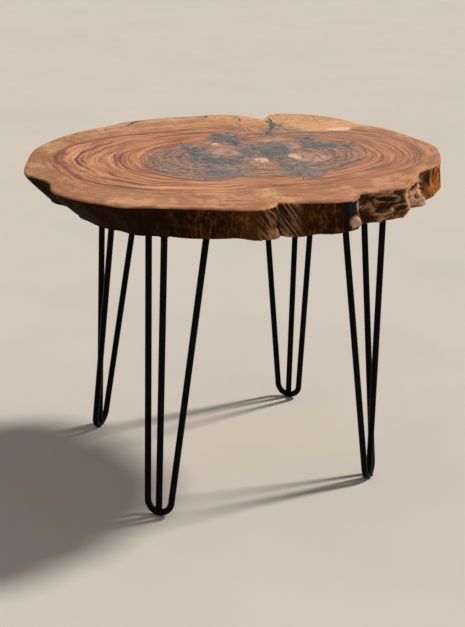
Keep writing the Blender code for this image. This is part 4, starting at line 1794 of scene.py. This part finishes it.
    def brace(self) -> Skin:
        """The straight rod; its lowest ring is coped to the bend's skin.

        Returns:
            Vertices and faces.
        """
        share = np.linspace(0.0, 1.0, self.straight_steps + 1)[:, None]
        bottom = np.array((0.0, 0.0, 2.0 * self.rod))
        top = np.array((0.0, -self.brace_lean, self.rod_top))
        rings = self.swept(bottom + share * (top - bottom), np.array((1.0, 0.0, 0.0)))
        rings[0][:, 2] = self.saddle(rings[0][:, 1], rings[0][:, 0])
        rings[-1] = self.levelled(rings[-1], top - bottom)
        return coat_solid(rings)

    def plate(self) -> Skin:
        """The plate: a rounded triangle, an arc round each rod seat joined by straights, whose upright
        edge is eased by a quarter circle above and below.

        Returns:
            Vertices and faces.
        """
        arcs = []
        for i, seat in enumerate(self.seats):
            ways = (seat - self.seats[i - 1], self.seats[(i + 1) % 3] - seat)
            arriving, leaving = (math.atan2(way[1], way[0]) for way in ways)
            sweep = (leaving - arriving) % (2.0 * math.pi)
            turns = arriving - math.pi / 2 + np.linspace(0.0, sweep, self.plate_arc_steps)
            arcs.append(seat + (self.rod + self.plate_margin) * spokes(turns))
        turns = np.linspace(0.0, np.pi / 2, self.plate_ease_steps)
        inset = self.plate_ease * (1.0 - np.sin(turns))
        lift = self.plate_ease * (1.0 - np.cos(turns))
        levels = list(zip(inset, self.plate_low + lift)) + list(zip(inset, self.plate_high - lift))[::-1]
        return coat_solid(stepped(np.concatenate(arcs), levels))

    def plate_weld(self, seat: np.ndarray, along: np.ndarray, seed: int) -> Skin:
        """The weld under the plate round one rod: a quarter circle carried round it, swelling and
        thinning in ripples.

        Args:
            seat: Where the rod meets the plate, (2,).
            along: The rod's direction, downwards.
            seed: Where the ripples start.

        Returns:
            Vertices and faces.
        """
        turns = full_turn(self.sides * 2)
        waves = np.cos(self.ripples * turns + seed) + 0.5 * np.cos(self.swells * turns + 2.0 * seed)
        size = self.bead * (1.0 + self.ripple * waves)
        profile = np.linspace(-0.12, 0.5, self.bead_rows) * np.pi
        reach = self.rod + np.cos(profile)[:, None] * size
        reach[-1] = self.rod * 0.9
        drop = np.sin(profile)[:, None] * size
        centre = seat + drop[..., None] * (along[:2] / -along[2])
        ring = centre + reach[..., None] * spokes(turns)
        return coat_solid(raised(ring, self.plate_low - drop)[::-1])

    def foot_weld(self) -> Skin:
        """The weld that joins the straight rod to the bend: a collar from the bend's skin up to the rod's.

        Returns:
            Vertices and faces.
        """
        turns = full_turn(self.sides * 2)
        size = self.foot_bead * (1.0 + self.ripple * np.cos(self.foot_ripples * turns))
        climb = np.linspace(0.0, 0.5, self.foot_bead_rows) * np.pi
        reach = self.rod + (1.0 - np.sin(climb))[:, None] * size - self.foot_bead_bite
        ring = reach[..., None] * spokes(turns)
        low = self.saddle(ring[:1, :, 1], ring[:1, :, 0]) - self.foot_bead_sunk
        rise = (1.0 - np.cos(climb))[:, None] * (size + self.foot_bead_climb)
        return coat_solid(raised(ring, low + rise))

    def welds(self) -> Skin:
        """The four beads of the leg.

        Returns:
            Vertices and faces.
        """
        line, _ = self.hairpin_line()
        ways = (line[1] - line[0], line[-2] - line[-1], np.array((0.0, self.brace_lean, -self.rod_top)))
        beads = [self.plate_weld(seat, unit(way), i) for i, (seat, way) in enumerate(zip(self.seats, ways))]
        return merged(beads + [self.foot_weld()])

    def screws(self) -> list:
        """Four pan-head screws, each turned from one profile, with a cross recess and a thread.

        The recess sinks the crown where a point lies near either arm of a cross. The thread swells
        the shank where height less the turn's share of a pitch comes round to a whole pitch.

        Returns:
            Vertices and faces of each screw.
        """
        first, second, third = self.seats
        seats = [first + (second - first) * share for share in (1 / 3, 2 / 3)]
        seats += [(second + third) / 2, (third + first) / 2]
        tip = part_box(f"leg_{self.name}_screw_1")[1].z
        head, core = self.plate_low - self.gap, self.screw - self.thread
        crown = np.linspace(self.crown_start, 1.0, self.crown_rows)
        fall = np.clip((crown - self.crown_flat) / (1.0 - self.crown_flat), 0.0, 1.0) ** 2
        dome = head - self.head_height * (1.0 - self.crown_droop * fall)
        shank = np.linspace(head, tip - self.tip_length, self.shank_rows)
        cone = np.linspace(tip - self.tip_length, tip, self.tip_rows)[1:]
        taper = np.linspace(1.0, self.tip_blunt, self.tip_rows)[1:]
        rim = (self.head, self.head * self.head_neck)
        radius = np.concatenate((crown * self.head, rim, np.full(self.shank_rows, core), core * taper))[:, None]
        level = np.concatenate((dome, (head - self.head_edge, head), shank, cone))[:, None]

        turns = full_turn(self.screw_sides)
        arm = np.abs(radius[..., None] * spokes(turns)).min(-1)
        recess = (1.0 - ease(arm, *self.recess_arm)) * (1.0 - ease(radius, *self.recess_reach)) * self.recess_depth
        rise = level + np.where(np.arange(len(level))[:, None] < self.crown_rows, recess, 0.0)
        phase = (rise / self.thread_pitch - turns / (2.0 * np.pi)) % 1.0
        ridge = self.thread * np.clip(1.0 - 4.0 * np.abs(phase - 0.5), 0.0, 1.0)
        threaded = (level > self.plate_high + self.thread_start) & (radius > self.thread_least)
        reach = radius + ridge * threaded
        vertices, faces = coat_solid(raised(reach[..., None] * spokes(turns), rise))
        return [(vertices + (*seat, 0.0), faces) for seat in seats]

    def build(self, coat: bpy.types.Material, zinc: bpy.types.Material) -> list:
        """The leg's pieces, each rod, plate and screw in place of its solid.

        Args:
            coat: Material of the rods, plate and welds.
            zinc: Material of the screws.

        Returns:
            The pieces.
        """
        shapes = {"hairpin": self.hairpin(), "brace": self.brace(), "plate": self.plate(), "welds": self.welds()}
        screws = {f"screw_{number}": shape for number, shape in enumerate(self.screws(), 1)}
        pieces = []
        for part, (points, faces) in (shapes | screws).items():
            material, slot = (zinc, Slot.SCREW) if part in screws else (coat, Slot.STEEL)
            piece = make_piece(f"{self.name}_{part}", (self.placed(points), faces), [material])
            pieces.append(piece if part == "welds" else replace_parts(piece, f"leg_{self.name}_{part}"))
        return pieces


# Studio


@dataclass(frozen=True)
class Studio:
    """Camera at the photograph's angle, a low sun from the right, a soft sky and a pale floor."""

    camera_at: tuple = (-0.9113, -2.1514, 1.0897)
    heading: float = math.radians(-23.0)
    pitch: float = math.radians(19.99)
    roll: float = math.radians(1.8)
    lens: float = 86.12
    sensor: float = 36.0
    sun_bearing: float = math.radians(6.0)
    sun_height: float = math.radians(43.0)
    sun_strength: float = 3.3
    sun_width: float = math.radians(7.0)
    sun_colour: Colour = (1.0, 0.97, 0.92)
    sky: Colour = (0.28, 0.28, 0.28)
    backdrop: Colour = (0.66, 0.60, 0.53)
    floor_rings: tuple = (0.5, 2.0, 8.0, 40.0)
    floor_sides: int = 96
    floor_cloud: float = 0.96

    def camera(self) -> None:
        """Looks along its heading, pitched down, then rolled about its own axis."""
        data = bpy.data.cameras.new("camera")
        data.lens, data.sensor_width = self.lens, self.sensor
        turn = Matrix.Rotation(self.heading, 4, "Z") @ Matrix.Rotation(math.pi / 2 - self.pitch, 4, "X")
        camera = shown("camera", data)
        camera.matrix_world = Matrix.Translation(self.camera_at) @ turn @ Matrix.Rotation(self.roll, 4, "Z")
        bpy.context.scene.camera = camera

    def lights(self) -> None:
        """A wide sun and an even sky; the camera and reflections see the backdrop's colour."""
        data = bpy.data.lights.new("sun", "SUN")
        data.energy, data.angle, data.color = self.sun_strength, self.sun_width, self.sun_colour
        level = math.cos(self.sun_height)
        plan = (level * math.cos(self.sun_bearing), level * math.sin(self.sun_bearing))
        sun = shown("sun", data)
        sun.rotation_mode = "QUATERNION"
        sun.rotation_quaternion = Vector((*plan, math.sin(self.sun_height))).to_track_quat("Z", "Y")
        world = bpy.data.worlds.new("studio")
        world.use_nodes = True
        bpy.context.scene.world = world
        sheet = NodeSheet(world.node_tree)
        rays = sheet.add("ShaderNodeLightPath").outputs
        seen = sheet.math("MAXIMUM", rays["Is Camera Ray"], rays["Is Transmission Ray"])
        seen = sheet.math("MAXIMUM", seen, rays["Is Glossy Ray"])
        sheet.fill(world.node_tree.nodes["Background"], Color=sheet.blend(seen, self.sky, self.backdrop))

    def floor(self) -> bpy.types.Object:
        """A wide disc of pale plaster: a grid of rings and turns, faintly clouded.

        Returns:
            The floor.
        """
        plan = np.array(self.floor_rings)[:, None, None] * spokes(full_turn(self.floor_sides))
        faces = [face[::-1] for face in wrapped_quads(len(plan), self.floor_sides).tolist()]
        faces.append(list(range(self.floor_sides)))
        material, sheet, shader = new_material("pale_plaster")
        cloud = sheet.noise(sheet.place(), 2.2, 5.0, 0.6)
        darker = tuple(self.floor_cloud * tone for tone in self.backdrop)
        tone = sheet.over(self.backdrop, darker, cloud, 0.35, 0.65)
        sheet.fill(shader, Base_Color=tone, Roughness=0.9, Specular_IOR_Level=0.1)
        floor = shown("floor", new_mesh("floor", (raised(plan, 0.0).reshape(-1, 3), faces), [material]))
        return floor


CRACK_SHADE = 0.72


def report(pieces: list) -> None:
    """Log each piece's name and count of faces."""
    for piece in pieces:
        LOG.info("%s: %d faces", piece.name, len(piece.data.polygons))


def main() -> None:
    """Build the studio and the table's pieces in order, and report each."""
    logging.basicConfig(level=logging.INFO, format="%(name)s %(message)s")
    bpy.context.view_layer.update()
    bpy.context.scene.view_settings.view_transform = "Standard"
    studio = Studio()
    studio.camera()
    studio.lights()
    report([studio.floor()])

    rings, mineral, handling = growth_ring_group(), MineralStain().group(), handling_group()
    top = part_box("slab_top")[1].z
    inlays = ResinInlays()
    outlines = {node: inlays.outline(node) for node in inlays.nodes}
    slab = LiveEdgeSlab()
    resin = ResinFinish(handling, mineral, rings, slab.heart, slab.ring_count * slab.heart_age)
    crack_resin = replace(resin, name="crack_resin", shade=CRACK_SHADE)
    finishes = (SliceFinish(rings, mineral), EdgeFinish(), UndersideFinish(rings))
    report([slab.build(finishes, list(outlines.values()), resin)])
    report([TopChecks().build(top, CheckFinish())])
    report(inlays.build(outlines, top, resin, crack_resin))

    coat = SteelFinish(
        handling, "black_powder_coat", deep=(0.0014, 0.0014, 0.0015), worn=(0.0036, 0.0036, 0.0038),
        sheen=(0.31, 0.45), metallic=0.0, gloss=0.05, grain_scale=900.0,
    ).material()
    zinc = SteelFinish(
        handling, "black_zinc", deep=(0.020, 0.020, 0.021), worn=(0.060, 0.060, 0.062),
        sheen=(0.29, 0.43), metallic=0.8, gloss=0.5, grain_scale=1400.0,
    ).material()
    for corner in Corner:
        report(HairpinLeg(corner).build(coat, zinc))


if __name__ == "__main__":
    main()
